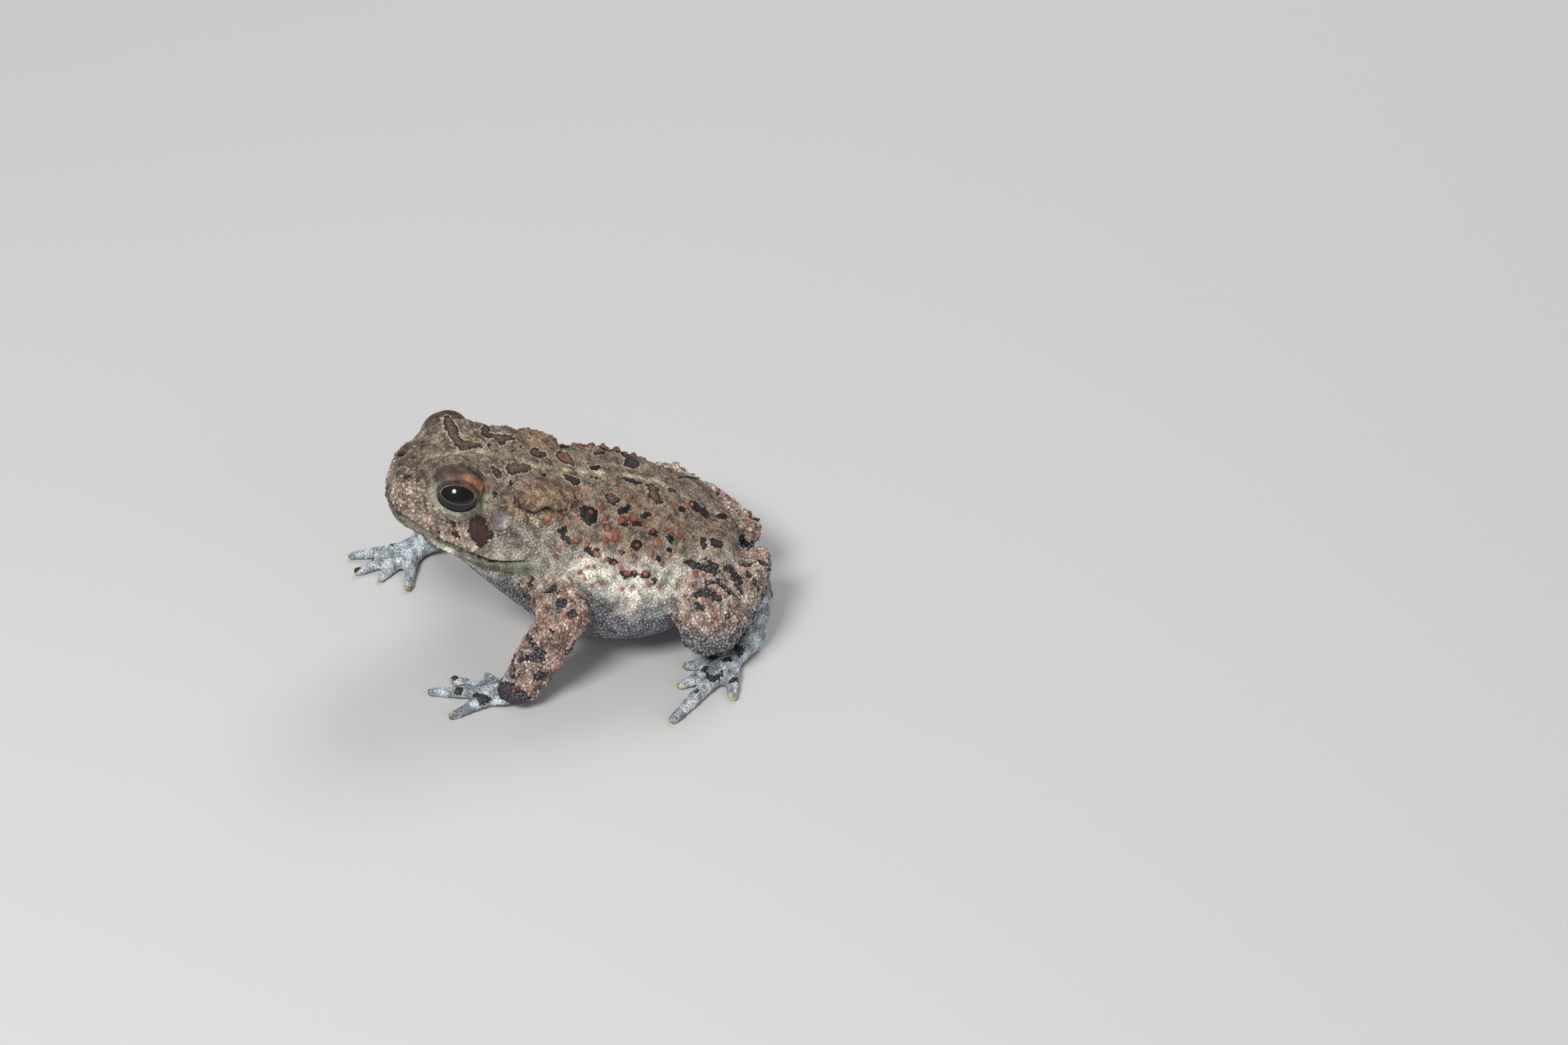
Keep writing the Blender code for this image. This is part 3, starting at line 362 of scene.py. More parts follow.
class ToadColours(bpy.types.PropertyGroup):
    """Colours of the skin and eyes."""

    back: colour_prop("Back", "Tan brown of the back", tint(131, 114, 98))
    gland: colour_prop("Gland", "Tan of the gland behind the eye", tint(136, 112, 88))
    flank: colour_prop("Flank", "Buff of the upper flank", tint(226, 219, 202))
    # The belly's grey white, partly its own colour and partly painted shade of the low, downward-facing skin.
    belly: colour_prop("Belly", "Grey white of the belly", tint(126, 127, 134))
    limb: colour_prop("Limb", "Salmon of the arms and legs", tint(176, 152, 138))
    knee: colour_prop("Knee", "Slate grey low on the hind legs", tint(114, 114, 121))
    foot: colour_prop("Foot", "Blue grey of hands and feet", tint(193, 202, 206))
    cheek: colour_prop("Cheek", "Pinkish buff of the pebbles before the eye", tint(172, 150, 134))
    pebble: colour_prop("Pebble", "Pink cream of the palest cheek pebbles", tint(208, 182, 162))
    jaw: colour_prop("Jaw", "Grey green of the granules behind the mouth", tint(172, 165, 152))
    drum: colour_prop("Ear drum", "Lilac grey of the ear drum", tint(150, 139, 138))
    toe: colour_prop("Toe tip", "Horn yellow of the toe tips", tint(164, 156, 118))
    # Black is also the painted shade in the mouth's line and in the nostrils.
    black: colour_prop("Black", "Rim of the patches", tint(28, 25, 26))
    brown: colour_prop("Patch brown", "Chocolate inside the patches", tint(100, 80, 68))
    rust: colour_prop("Patch rust", "Rusty brown inside a few patches", tint(126, 88, 66))
    maroon: colour_prop("Patch maroon", "Dark red brown of the cheek patch", tint(68, 46, 40))
    slate: colour_prop("Patch slate", "Blue black inside a few patches", tint(60, 56, 60))
    bead: colour_prop("Granule", "Grey white of the granules on belly and flank", tint(190, 188, 186))
    # The speck colour is also the painted shade along the head's creases and round the eye opening.
    speck: colour_prop("Speck", "Small dark specks", tint(44, 36, 33))
    cream: colour_prop("Cream", "Pale outline of the patches and the stripe", tint(197, 181, 150))
    dark_red: colour_prop("Dark red", "Darkest red of the warts", tint(124, 42, 34))
    orange: colour_prop("Orange", "Palest orange of the warts", tint(206, 102, 70))
    lip: colour_prop("Lip", "Grey green of the lower lip", tint(104, 106, 90))
    # The throat's olive grey, partly its own colour and partly painted shade under the jaw.
    throat: colour_prop("Throat", "Olive grey under the corner of the mouth", tint(110, 112, 88))
    orbit: colour_prop("Orbit", "Green grey of the smooth skin round the eye", tint(142, 143, 122))
    lid: colour_prop("Lid", "Brown of the upper lid", tint(84, 70, 60))
    lid_edge: colour_prop("Lid edge", "Orange of the upper lid's edge", tint(158, 105, 72))
    iris: colour_prop("Iris", "Bronze black of the iris", tint(10, 11, 8))
    gold: colour_prop("Gold", "Gold ring round the pupil", tint(200, 166, 120))


class ToadStage(bpy.types.PropertyGroup):
    """Camera, floor and lights."""

    azimuth: FloatProperty(
        name="Azimuth", description="Camera's turn round the toad",
        default=math.radians(75.7), subtype="ANGLE",
    )
    elevation: FloatProperty(
        name="Elevation", description="Camera's height above the horizon",
        default=math.radians(36.59), subtype="ANGLE",
    )
    roll: FloatProperty(
        name="Roll", description="Camera's turn about its own axis",
        default=math.radians(3.97), subtype="ANGLE",
    )
    distance: FloatProperty(
        name="Distance", description="Camera's distance from the toad", default=0.73329, unit="LENGTH",
    )
    slide: FloatVectorProperty(
        name="Slide", description="Camera's slide to its right and up",
        default=(0.03778, 0.00397), size=2, subtype="TRANSLATION",
    )
    target: FloatVectorProperty(
        name="Target", description="Point that the camera turns round",
        default=(-0.0000132, -0.0012215, 0.015), subtype="TRANSLATION",
    )
    lens: FloatProperty(name="Lens", description="Focal length in millimetres", default=100.0)
    floor: colour_prop("Floor", "Plain pale floor", (0.66, 0.65, 0.63))


def photo_camera():
    """Eye point and axes of the camera: right, top and back."""
    stage = bpy.context.scene.toad_stage
    around = Vector((math.cos(stage.azimuth), math.sin(stage.azimuth), 0))
    level = math.cos(stage.elevation)
    back = Vector(
        (math.sin(stage.azimuth) * level, -math.cos(stage.azimuth) * level, math.sin(stage.elevation))
    )
    up = back.cross(around)
    right = around * math.cos(stage.roll) + up * math.sin(stage.roll)
    top = up * math.cos(stage.roll) - around * math.sin(stage.roll)
    place = Vector(stage.target) + right * stage.slide[0] + top * stage.slide[1] + back * stage.distance
    return place, right, top, back


def sight_line(pixel):
    """Start in millimetres and direction of the ray through a pixel of the photograph."""
    place, right, top, back = photo_camera()
    focal = PHOTO_WIDTH * bpy.context.scene.toad_stage.lens / SENSOR_WIDTH
    toward = (
        right * ((pixel[0] - PHOTO_WIDTH / 2) / focal) + top * ((PHOTO_HEIGHT / 2 - pixel[1]) / focal) - back
    )
    return place / MM, toward.normalized()


def flip_for(side):
    """Factors that carry a place of the left side to the given side."""
    return np.array((side, 1.0, 1.0))


def smooth_step(values, low, high):
    """Rises smoothly from 0 at low to 1 at high."""
    part = np.clip((values - low) / (high - low), 0.0, 1.0)
    return part * part * (3 - 2 * part)


def bell(gap, middle, width):
    """A smooth bump, 1 at the middle."""
    return np.exp(-(((gap - middle) / width) ** 2))


def lengths(rows):
    return np.linalg.norm(rows, axis=1)


def read_rows(items, key, width, kind=np.float64):
    """One row of numbers for each item of a mesh."""
    values = np.empty(len(items) * width, dtype=kind)
    items.foreach_get(key, values)
    return values.reshape(-1, width)


def mesh_points(mesh):
    return read_rows(mesh.vertices, "co", 3) / MM


def mesh_normals(mesh):
    return read_rows(mesh.vertices, "normal", 3)


def mesh_edges(mesh):
    return read_rows(mesh.edges, "vertices", 2, np.int64)


def move_points(mesh, points):
    mesh.vertices.foreach_set("co", (points * MM).ravel())
    mesh.update()


def neighbour_mean(values, edges):
    """Mean of the values at the far ends of each vertex's edges."""
    count = len(values)
    degree = np.bincount(edges.ravel(), minlength=count).clip(1)
    flat = values.reshape(count, -1)
    means = np.empty_like(flat)
    for column in range(flat.shape[1]):
        total = np.bincount(edges[:, 0], weights=flat[edges[:, 1], column], minlength=count)
        total += np.bincount(edges[:, 1], weights=flat[edges[:, 0], column], minlength=count)
        means[:, column] = total / degree
    return means.reshape(values.shape)


def relax(values, edges, steps, amount=0.5):
    """Evens out the values along the edges."""
    for _ in range(steps):
        values = values + (neighbour_mean(values, edges) - values) * amount
    return values


def skin_tree(mesh):
    """Search tree of a mesh, in millimetres."""
    return BVHTree.FromPolygons(
        [tuple(point) for point in mesh_points(mesh)], [tuple(face.vertices) for face in mesh.polygons]
    )


def place_under(tree, pixel):
    """Place on a mesh that the photograph shows at a pixel, or None."""
    start, toward = sight_line(pixel)
    place = tree.ray_cast(start, toward)[0]
    return None if place is None else np.array(place)


def line_distance(points, line):
    """Distance from each point to a polyline, and the nearest place on it."""
    best = np.full(len(points), 1e9)
    nearest = np.zeros_like(points)
    for start, end in zip(line[:-1], line[1:]):
        run = end - start
        along = np.clip((points - start) @ run / (run @ run), 0, 1)
        place = start + along[:, None] * run
        gap = lengths(points - place)
        closer = gap < best
        best[closer] = gap[closer]
        nearest[closer] = place[closer]
    return best, nearest


def outline_distance(flat, outline):
    """Signed distance in a plane to a closed outline, less than zero inside."""
    best = np.full(len(flat), 1e9)
    inside = np.zeros(len(flat), dtype=bool)
    for start, end in zip(outline, np.roll(outline, -1, axis=0)):
        run = end - start
        along = np.clip((flat - start) @ run / (run @ run), 0, 1)
        best = np.minimum(best, lengths(flat - start - along[:, None] * run))
        spans = (start[1] > flat[:, 1]) != (end[1] > flat[:, 1])
        rise = run[1] if abs(run[1]) > 1e-9 else 1e-9
        cross = start[0] + run[0] * (flat[:, 1] - start[1]) / rise
        inside ^= spans & (flat[:, 0] < cross)
    return np.where(inside, -best, best)


def noise_values(points, scale, seed_shift, octaves=3):
    """Smooth noise from -1 to 1 at each point, features about scale millimetres across."""
    shift = Vector((seed_shift, seed_shift * 0.7, -seed_shift))
    return np.array(
        [noise.fractal(Vector(point) / scale + shift, 1.0, 2.0, octaves) for point in points]
    )


def cobble_values(points, scale):
    """Rounded bumps like cobbles, 1 at each top and 0 in the grooves."""
    heights = np.empty(len(points))
    for index, point in enumerate(points):
        near, _ = noise.voronoi(Vector(point) / scale)
        heights[index] = min(1.0, (near[1] - near[0]) * 1.6)
    return heights


def largest_island(mesh):
    """Removes all but the largest connected surface."""
    work = bmesh.new()
    work.from_mesh(mesh)
    work.verts.ensure_lookup_table()
    seen = set()
    best = set()
    for start in work.verts:
        if start.index in seen:
            continue
        island = {start.index}
        stack = [start]
        while stack:
            for edge in stack.pop().link_edges:
                for vert in edge.verts:
                    if vert.index not in island:
                        island.add(vert.index)
                        stack.append(vert)
        seen |= island
        if len(island) > len(best):
            best = island
    bmesh.ops.delete(work, geom=[vert for vert in work.verts if vert.index not in best], context="VERTS")
    work.to_mesh(mesh)
    work.free()


def fused_flesh(shape):
    """One closed shell over all the flesh solids."""
    joined = bmesh.new()
    for name in FLESH:
        part = bmesh.new()
        part.from_mesh(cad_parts[name].data)
        bmesh.ops.remove_doubles(part, verts=part.verts, dist=1e-6)
        part.normal_update()
        for vert in part.verts:
            vert.co += vert.normal * shape.swell
        copy = bpy.data.meshes.new(name + "_copy")
        part.to_mesh(copy)
        part.free()
        joined.from_mesh(copy)
        bpy.data.meshes.remove(copy)
    mesh = bpy.data.meshes.new("flesh_shell")
    joined.to_mesh(mesh)
    joined.free()
    shell = bpy.data.objects.new("flesh_shell", mesh)
    bpy.context.collection.objects.link(shell)
    remesh = shell.modifiers.new("Fuse", "REMESH")
    remesh.mode = "VOXEL"
    remesh.voxel_size = shape.grain
    graph = bpy.context.evaluated_depsgraph_get()
    fused = bpy.data.meshes.new_from_object(shell.evaluated_get(graph))
    bpy.data.objects.remove(shell)
    largest_island(fused)
    return fused


def refine(mesh, wanted):
    """Subdivides the edges whose both ends are wanted, from a test on points in millimetres."""
    chosen = wanted(mesh_points(mesh))
    work = bmesh.new()
    work.from_mesh(mesh)
    edges = [edge for edge in work.edges if all(chosen[vert.index] for vert in edge.verts)]
    bmesh.ops.subdivide_edges(work, edges=edges, cuts=1, use_grid_fill=True)
    work.to_mesh(mesh)
    work.free()


def needs_detail(points):
    """True round the eyes and along the mouth, where the skin's faces are smaller."""
    chosen = np.zeros(len(points), dtype=bool)
    for _, side in SIDES:
        flip = flip_for(side)
        chosen |= lengths(points - EYE_CENTRE * flip) < 5.2
        chosen |= line_distance(points, MOUTH_LINE * flip)[0] < 1.0
        chosen |= lengths(points - TYMPANUM * flip) < 2.3
        start, toward = (np.array(part) for part in sight_line(NOSTRIL_PIXEL))
        away = lengths(np.cross(points * flip - start, toward))
        chosen |= (away < 1.2) & (points[:, 1] < -20.0) & (points[:, 0] * side > 0)
    return chosen


def ball_direction(pixel):
    """Direction from the left eye's centre to what its ball shows at a pixel."""
    start, toward = (np.array(part) for part in sight_line(pixel))
    offset = start - EYE_CENTRE
    half = offset @ toward
    reach = -half - math.sqrt(max(0.0, half * half - offset @ offset + eye_radius() ** 2))
    return (offset + toward * reach) / eye_radius()


def eye_frame(side):
    """Centre of the eye on one side, and the axes of its opening: out, long and high."""
    out = ball_direction(EYE_OPENING_PIXEL)
    long_axis = np.array((0.10, 1.0, -0.22))
    long_axis -= out * (long_axis @ out)
    long_axis /= np.linalg.norm(long_axis)
    high = np.cross(out, long_axis)
    if high[2] < 0:
        high = -high
    return tuple(axis * flip_for(side) for axis in (EYE_CENTRE, out, long_axis, high))


def eye_radius():
    low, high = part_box("eye_l")
    return 0.5 * (high.y - low.y) / MM


def opening_coordinates(points, side):
    """Distance from the eye's centre, and place across and up the opening, 1 at the opening's edge."""
    centre, out, long_axis, high = eye_frame(side)
    spoke = points - centre
    radius = lengths(spoke)
    unit = spoke / radius[:, None].clip(1e-6)
    return radius, (unit @ long_axis) / OPENING_LONG, (unit @ high) / OPENING_HIGH, unit


def lid_edge(spread, turn, chosen):
    """How far out the skin's edge lies round the opening, for each direction."""
    count = 36
    slot = ((turn / math.tau + 0.5) * count).astype(int) % count
    edge = np.ones(count)
    for index in range(count):
        here = spread[chosen & (slot == index)]
        if len(here):
            edge[index] = here.min()
    for _ in range(2):
        edge = (np.roll(edge, 1) + edge * 2 + np.roll(edge, -1)) / 4
    middles = (np.arange(-1, count + 1) + 0.5) / count * math.tau - math.pi
    return np.interp(turn, middles, np.concatenate((edge[-1:], edge, edge[:1])))


def touches(chosen, edges):
    """True for each vertex with a neighbour that is chosen."""
    found = np.zeros(len(chosen), dtype=bool)
    found[edges[chosen[edges[:, 1]], 0]] = True
    found[edges[chosen[edges[:, 0]], 1]] = True
    return found


def shape_lids(points, normals, edges):
    """Brings the skin's edge round each eye to the lids' outline, close on the ball."""
    ball = eye_radius()
    for _, side in SIDES:
        radius, across, upward, unit = opening_coordinates(points, side)
        centre, out, long_axis, high = eye_frame(side)
        spread = np.hypot(across, upward).clip(1e-3)
        near = (radius < ball + 2.0) & (unit @ out > 0.02)
        outer = near & (np.sum(normals * unit, axis=1) > 0.15)
        rim = outer & (spread < LID_REACH)
        inner = near & ~outer & (spread < LID_REACH) & (radius < ball + 0.8)
        margin = rim & touches(inner, edges) & (spread < 1.4)
        start = lid_edge(spread, np.arctan2(upward, across), rim)
        moved = 1 + (spread - start) * (LID_REACH - 1) / (LID_REACH - start).clip(0.05)
        flat = np.stack((across, upward), axis=1) * (moved.clip(1.0) / spread)[:, None]
        near_edges = edges[rim[edges].all(axis=1)]
        loose = rim & (np.bincount(near_edges.ravel(), minlength=len(points)) > 2)
        hold = 0.6 * (1 - smooth_step(moved, 1.25, LID_REACH))
        for _ in range(12):
            flat[margin] /= lengths(flat[margin])[:, None]
            shift = neighbour_mean(flat, near_edges) - flat
            flat[loose] += shift[loose] * hold[loose, None]
            short = rim & (lengths(flat) < 1.0)
            flat[short] /= lengths(flat[short])[:, None]
        flat[margin] /= lengths(flat[margin])[:, None]
        moved = lengths(flat)
        place = flat[:, :1] * OPENING_LONG * long_axis + flat[:, 1:] * OPENING_HIGH * high
        turned = place + out * np.sqrt((1 - np.sum(place * place, axis=1)).clip(0.0025))[:, None]
        thick = LID_THICKNESS + UPPER_LID_EXTRA * smooth_step(flat[:, 1], 0.0, 0.8)
        edge = ball + LID_CLEARANCE + thick * smooth_step(moved, 0.98, 1.24)
        near_lid = 1 - smooth_step(moved, 1.2, LID_REACH)
        target = centre + turned * (edge * near_lid + radius * (1 - near_lid))[:, None]
        points[rim] = target[rim]
        points[inner] = centre + unit[inner] * (ball + 0.03)
    return points


def soften_corners(skin):
    """Evens out the skin behind the rear corner of each eye."""
    corner = place_under(skin_tree(skin.mesh), LID_CORNER_PIXEL)
    even = relax(skin.points, skin.edges, 25)
    points = skin.points.copy()
    for _, side in SIDES:
        gap = lengths(points - corner * flip_for(side))
        weight = 1 - smooth_step(gap, 0.7, 1.3)
        points += (even - points) * weight[:, None]
    return points


def laid_line(tree, line):
    """A polyline divided finely and laid on the skin."""
    fine = [start + (end - start) * step / 6 for start, end in zip(line[:-1], line[1:]) for step in range(6)]
    return np.array([tree.find_nearest(Vector(place))[0] for place in fine + [line[-1]]])


def carve_mouth(points, normals, shape, tree):
    """Cuts the mouth's line and swells the lips. Gives the distance to it, and what lies below."""
    measures = []
    moved = points.copy()
    for _, side in SIDES:
        gap, nearest = line_distance(points, laid_line(tree, MOUTH_LINE * flip_for(side)))
        above = smooth_step(points[:, 2] - nearest[:, 2], 0.0, 0.25)
        below = smooth_step(nearest[:, 2] - points[:, 2], 0.0, 0.25)
        groove = -bell(gap, 0.0, SLIT_WIDTH) * shape.mouth_depth / MM
        upper = UPPER_LIP * bell(gap, 0.60, 0.34) * above
        lower = LOWER_LIP * bell(gap, 0.70, 0.40) * below
        near = gap < 2.5
        moved[near] += normals[near] * (groove + upper + lower)[near, None]
        measures.append((gap, below))
    return moved, measures


def dent(points, normals, centre, radius, depth, rim):
    """A round pit with a raised edge."""
    gap = lengths(points - centre)
    change = rim * bell(gap, radius * 1.5, radius * 0.5) - depth * np.exp(-1.6 * (gap / radius) ** 2)
    change[gap > radius * 3] = 0.0
    return points + normals * change[:, None]


def raise_lines(points, normals, tree):
    """Ridges and creases of the head on both sides, and how deep each point lies in a groove, which sets the
    painted shade there.
    """
    crease_shade = np.zeros(len(points))
    for height, width, pixels in HEAD_LINES:
        line = pixel_outline(tree, pixels)
        for _, side in SIDES:
            gap, _ = line_distance(points, line * flip_for(side))
            closeness = bell(gap, 0.0, width)
            points = points + normals * (1.5 * height * closeness)[:, None]
            crease_shade = np.maximum(crease_shade, closeness * max(0.0, -height / 0.45))
    return points, crease_shade


def shape_drum(points, normals):
    """Flattens the ear drum inside its raised ring."""
    for _, side in SIDES:
        gap = lengths(points - TYMPANUM * flip_for(side))
        change = 0.32 * bell(gap, 1.80, 0.24) - 0.24 * (1 - smooth_step(gap, 0.6, 1.7))
        points = points + normals * change[:, None]
    return points


def shape_glands(points, normals):
    """Knobs and pores of the long glands behind the eyes."""
    for _, side in SIDES:
        gap = gland_gap(points, side)
        near = gap < 1.25
        knobs = np.zeros(len(points))
        fade = 1 - smooth_step(gap[near], 0.75, 1.2)
        flipped = points[near] * flip_for(side)
        low = smooth_step(PAROTOID[2] + 0.6 - points[near][:, 2], -1.2, 1.2)
        knobs[near] = cobble_values(flipped, 2.0) * (0.35 + 0.65 * low) + 0.30 * cobble_values(flipped, 0.8)
        knobs[near] *= fade
        points = points + normals * (knobs * 0.68)[:, None]
    return points


def gland_gap(points, side):
    """Distance from the gland's middle, 1 at its edge."""
    return lengths((points - PAROTOID * flip_for(side)) / PAROTOID_SIZE)


def fold_skin(points, normals, masks, edges):
    """Creases where the limbs leave the body, and slack folds low on the flank."""
    joints = np.zeros(len(points))
    for name in ("upper_arm_l", "upper_arm_r", "thigh_l", "thigh_r", "shank_l", "shank_r", "head"):
        joints = np.maximum(joints, 4 * masks[name] * (1 - masks[name]))
    waves = noise_values(points * np.array((1.0, 2.4, 0.8)), 2.4, 5.5, 2)
    flank = smooth_step(20.0 - points[:, 2], 0.0, 5.0) * masks["torso"]
    fold = joints * waves * 0.28 + flank * np.abs(waves) * 0.16
    return points + normals * relax(fold, edges, 2)[:, None]


class Skin:
    """The skin's mesh with its points, normals and masks while it is worked on."""

    def __init__(self, mesh):
        self.mesh = mesh
        self.edges = mesh_edges(mesh)
        self.refresh()

    def refresh(self):
        self.points = mesh_points(self.mesh)
        self.normals = mesh_normals(self.mesh)

    def store(self, points):
        move_points(self.mesh, points)
        self.refresh()


def joined_mask(masks, starts):
    """Mask of all the parts whose names begin so."""
    return sum(mask for name, mask in masks.items() if name.startswith(starts)).clip(0, 1)


def part_masks(points, edges):
    """Soft mask of each flesh node over the skin."""
    nearest = np.full(len(points), 1e9)
    owner = np.zeros(len(points), dtype=np.int64)
    for index, name in enumerate(FLESH):
        work = bmesh.new()
        work.from_mesh(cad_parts[name].data)
        tree = BVHTree.FromPolygons(
            [tuple(vert.co / MM) for vert in work.verts],
            [tuple(vert.index for vert in face.verts) for face in work.faces],
        )
        work.free()
        low, high = (np.array(corner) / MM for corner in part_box(name))
        inside = np.all((points > low - 1.0) & (points < high + 1.0), axis=1)
        for spot in np.nonzero(inside)[0]:
            gap = tree.find_nearest(Vector(points[spot]))[3]
            if gap < nearest[spot]:
                nearest[spot] = gap
                owner[spot] = index
    return {
        name: relax((owner == index).astype(float), edges, 14) for index, name in enumerate(FLESH)
    }


def wart_places(tree, seed):
    """Root, radius and tone of each red wart: near side from the photograph, far side like it."""
    rng = np.random.default_rng(seed + 1)
    places = []
    for x, y, radius, tone in RED_WARTS:
        place = place_under(tree, (x, y))
        places.append((place, radius * PIXEL_SIZE, tone))
        if place[0] > 7.5:
            moved = place * MIRROR_X + rng.uniform(-1.0, 1.0, 3)
            root = np.array(tree.find_nearest(Vector(moved))[0])
            places.append((root, radius * PIXEL_SIZE * rng.uniform(0.8, 1.1), tone))
    return places


def raise_warts(points, normals, warts):
    """Swells the skin to a low cone under each red wart."""
    for place, radius, _ in warts:
        gap = lengths(points - place)
        near = gap < radius * 3
        lift = 0.55 * radius * bell(gap[near], 0.0, 1.15 * radius)
        points[near] += normals[near] * lift[:, None]
    return points


class PatchField:
    """Distance to the nearest dark patch, its fill colour and the strength of its pale outline."""

    def __init__(self, points, normals):
        self.points = points
        self.normals = normals
        count = len(points)
        self.distance = np.full(count, 9.0)
        self.fill = np.zeros((count, 3))
        self.halo = np.zeros(count)

    def near_plane(self, outline, margin):
        """Points near a closed outline, with their and the outline's places in its plane."""
        middle = outline.mean(axis=0)
        reach = lengths(outline - middle).max() + margin
        near = np.nonzero(lengths(self.points - middle) < reach)[0]
        closest = near[np.argmin(lengths(self.points[near] - middle))]
        near = near[self.normals[near] @ self.normals[closest] > 0.1]
        out = self.normals[near].mean(axis=0)
        out /= np.linalg.norm(out)
        first = np.cross(out, (0.0, 0.0, 1.0) if abs(out[2]) < 0.9 else (0.0, 1.0, 0.0))
        first /= np.linalg.norm(first)
        basis = np.stack((first, np.cross(out, first)), axis=1)
        return near, (self.points[near] - middle) @ basis, (outline - middle) @ basis

    def add(self, outline, fill, halo):
        """Draws one patch from a closed outline of places on the skin."""
        near, flat, flat_outline = self.near_plane(outline, 1.6)
        gap = outline_distance(flat, flat_outline)
        closer = gap < self.distance[near]
        chosen = near[closer]
        self.distance[chosen] = gap[closer]
        self.fill[chosen] = fill
        self.halo[chosen] = halo

    def zone(self, outline, fade):
        """Soft mask, 1 inside an outline, that fades over a distance."""
        near, flat, flat_outline = self.near_plane(outline, fade + 1.0)
        mask = np.zeros(len(self.points))
        mask[near] = 1 - smooth_step(outline_distance(flat, flat_outline), -0.3, fade)
        return mask


def pixel_outline(tree, pixels):
    """Places on the skin under an outline of pixels."""
    places = [place_under(tree, pixel) for pixel in pixels]
    return np.array([place for place in places if place is not None])


def oval_pixels(x, y, long_half, short_half, tilt, count=12):
    turn = math.radians(tilt)
    outline = []
    for step in range(count):
        angle = math.tau * step / count
        along = long_half * math.cos(angle)
        across = short_half * math.sin(angle)
        spot_x = x + along * math.cos(turn) - across * math.sin(turn)
        spot_y = y + along * math.sin(turn) + across * math.cos(turn)
        outline.append((spot_x, spot_y))
    return outline


def mirrored_outline(tree, outline, rng):
    """The same outline on the other side of the toad, a little shifted and resized."""
    flipped = outline * MIRROR_X
    middle = flipped.mean(axis=0)
    scale = rng.uniform(0.8, 1.2)
    shift = np.array((0.0, rng.uniform(-1.2, 1.2), rng.uniform(-0.5, 0.5)))
    moved = middle + (flipped - middle) * scale + shift
    return np.array([tree.find_nearest(Vector(place))[0] for place in moved])


def hidden_places(skin, tree, mask, gap, rng):
    """Places on the masked skin that the photograph doesn't show, some way apart."""
    eye_place = np.array(photo_camera()[0]) / MM
    chosen = []
    order = list(np.nonzero(mask > 0.7)[0])
    rng.shuffle(order)
    for index in order:
        place = skin.points[index]
        if any(np.linalg.norm(place - other) < gap for other, _ in chosen):
            continue
        sight = eye_place - place
        sight /= np.linalg.norm(sight)
        clear = place + skin.normals[index] * 0.4
        seen = sight @ skin.normals[index] > 0.05 and tree.ray_cast(Vector(clear), Vector(sight))[0] is None
        if not seen:
            chosen.append((place, skin.normals[index]))
    return chosen


def oval_outline(place, normal, run, long_half, short_half, rng, count=10):
    """Uneven oval on the skin, its long axis across a limb's run."""
    across = np.cross(normal, run)
    across /= np.linalg.norm(across)
    along = np.cross(across, normal)
    outline = []
    for step in range(count):
        angle = math.tau * step / count
        uneven = rng.uniform(0.75, 1.2)
        spot = across * math.cos(angle) * long_half + along * math.sin(angle) * short_half
        outline.append(place + spot * uneven)
    return np.array(outline)


def draw_patches(skin, tree, masks, colours, seed):
    """All the dark patches, from the photograph on the near side, mirrored or scattered elsewhere."""
    rng = random.Random(seed)
    field = PatchField(skin.points, skin.normals)
    fills = {name: np.array(getattr(colours, name)) for name in ("black", "brown", "rust", "maroon", "slate")}
    drawn = [(pixel_outline(tree, pixels), fill, halo) for pixels, fill, halo in PATCHES]
    drawn += [(pixel_outline(tree, oval_pixels(*oval)), fill, 0.25) for *oval, fill in SPOTS]
    for outline, fill, halo in drawn:
        if len(outline) < 3:
            continue
        field.add(outline, fills[fill], halo)
        if outline[:, 0].mean() > 4.5:
            field.add(mirrored_outline(tree, outline, rng), fills[fill], halo)
    for pixels in LIMB_PATCHES:
        outline = pixel_outline(tree, pixels)
        if len(outline) > 2:
            field.add(outline, fills["slate"], 0.15)
    for name, mask in masks.items():
        if name in ("head", "torso"):
            continue
        low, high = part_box(name)
        run = np.array(high - low)
        run /= np.linalg.norm(run)
        narrow = name.startswith(("hand", "foot"))
        for place, normal in hidden_places(skin, tree, mask, 2.6 if narrow else 4.2, rng):
            if place[2] < 1.0:
                continue
            long_half = rng.uniform(0.8, 1.3) if narrow else rng.uniform(1.3, 2.4)
            field.add(
                oval_outline(place, normal, run, long_half, rng.uniform(0.45, 0.9), rng), fills["slate"], 0.15
            )
    back = masks["torso"] * smooth_step(skin.points[:, 2], 15.0, 18.0)
    for place, normal in hidden_places(skin, tree, back, 5.0, rng):
        long_half = rng.uniform(0.7, 1.5)
        short_half = rng.uniform(0.5, 1.0)
        outline = oval_outline(place, normal, np.array((0.0, 1.0, 0.2)), long_half, short_half, rng)
        if np.abs(field.distance[np.argmin(lengths(skin.points - place))]) > 2.0:
            field.add(outline, fills[rng.choice(("brown", "brown", "slate"))], 0.6)
    return field


def mix(base, other, weight):
    return base + (np.asarray(other) - base) * weight[:, None]


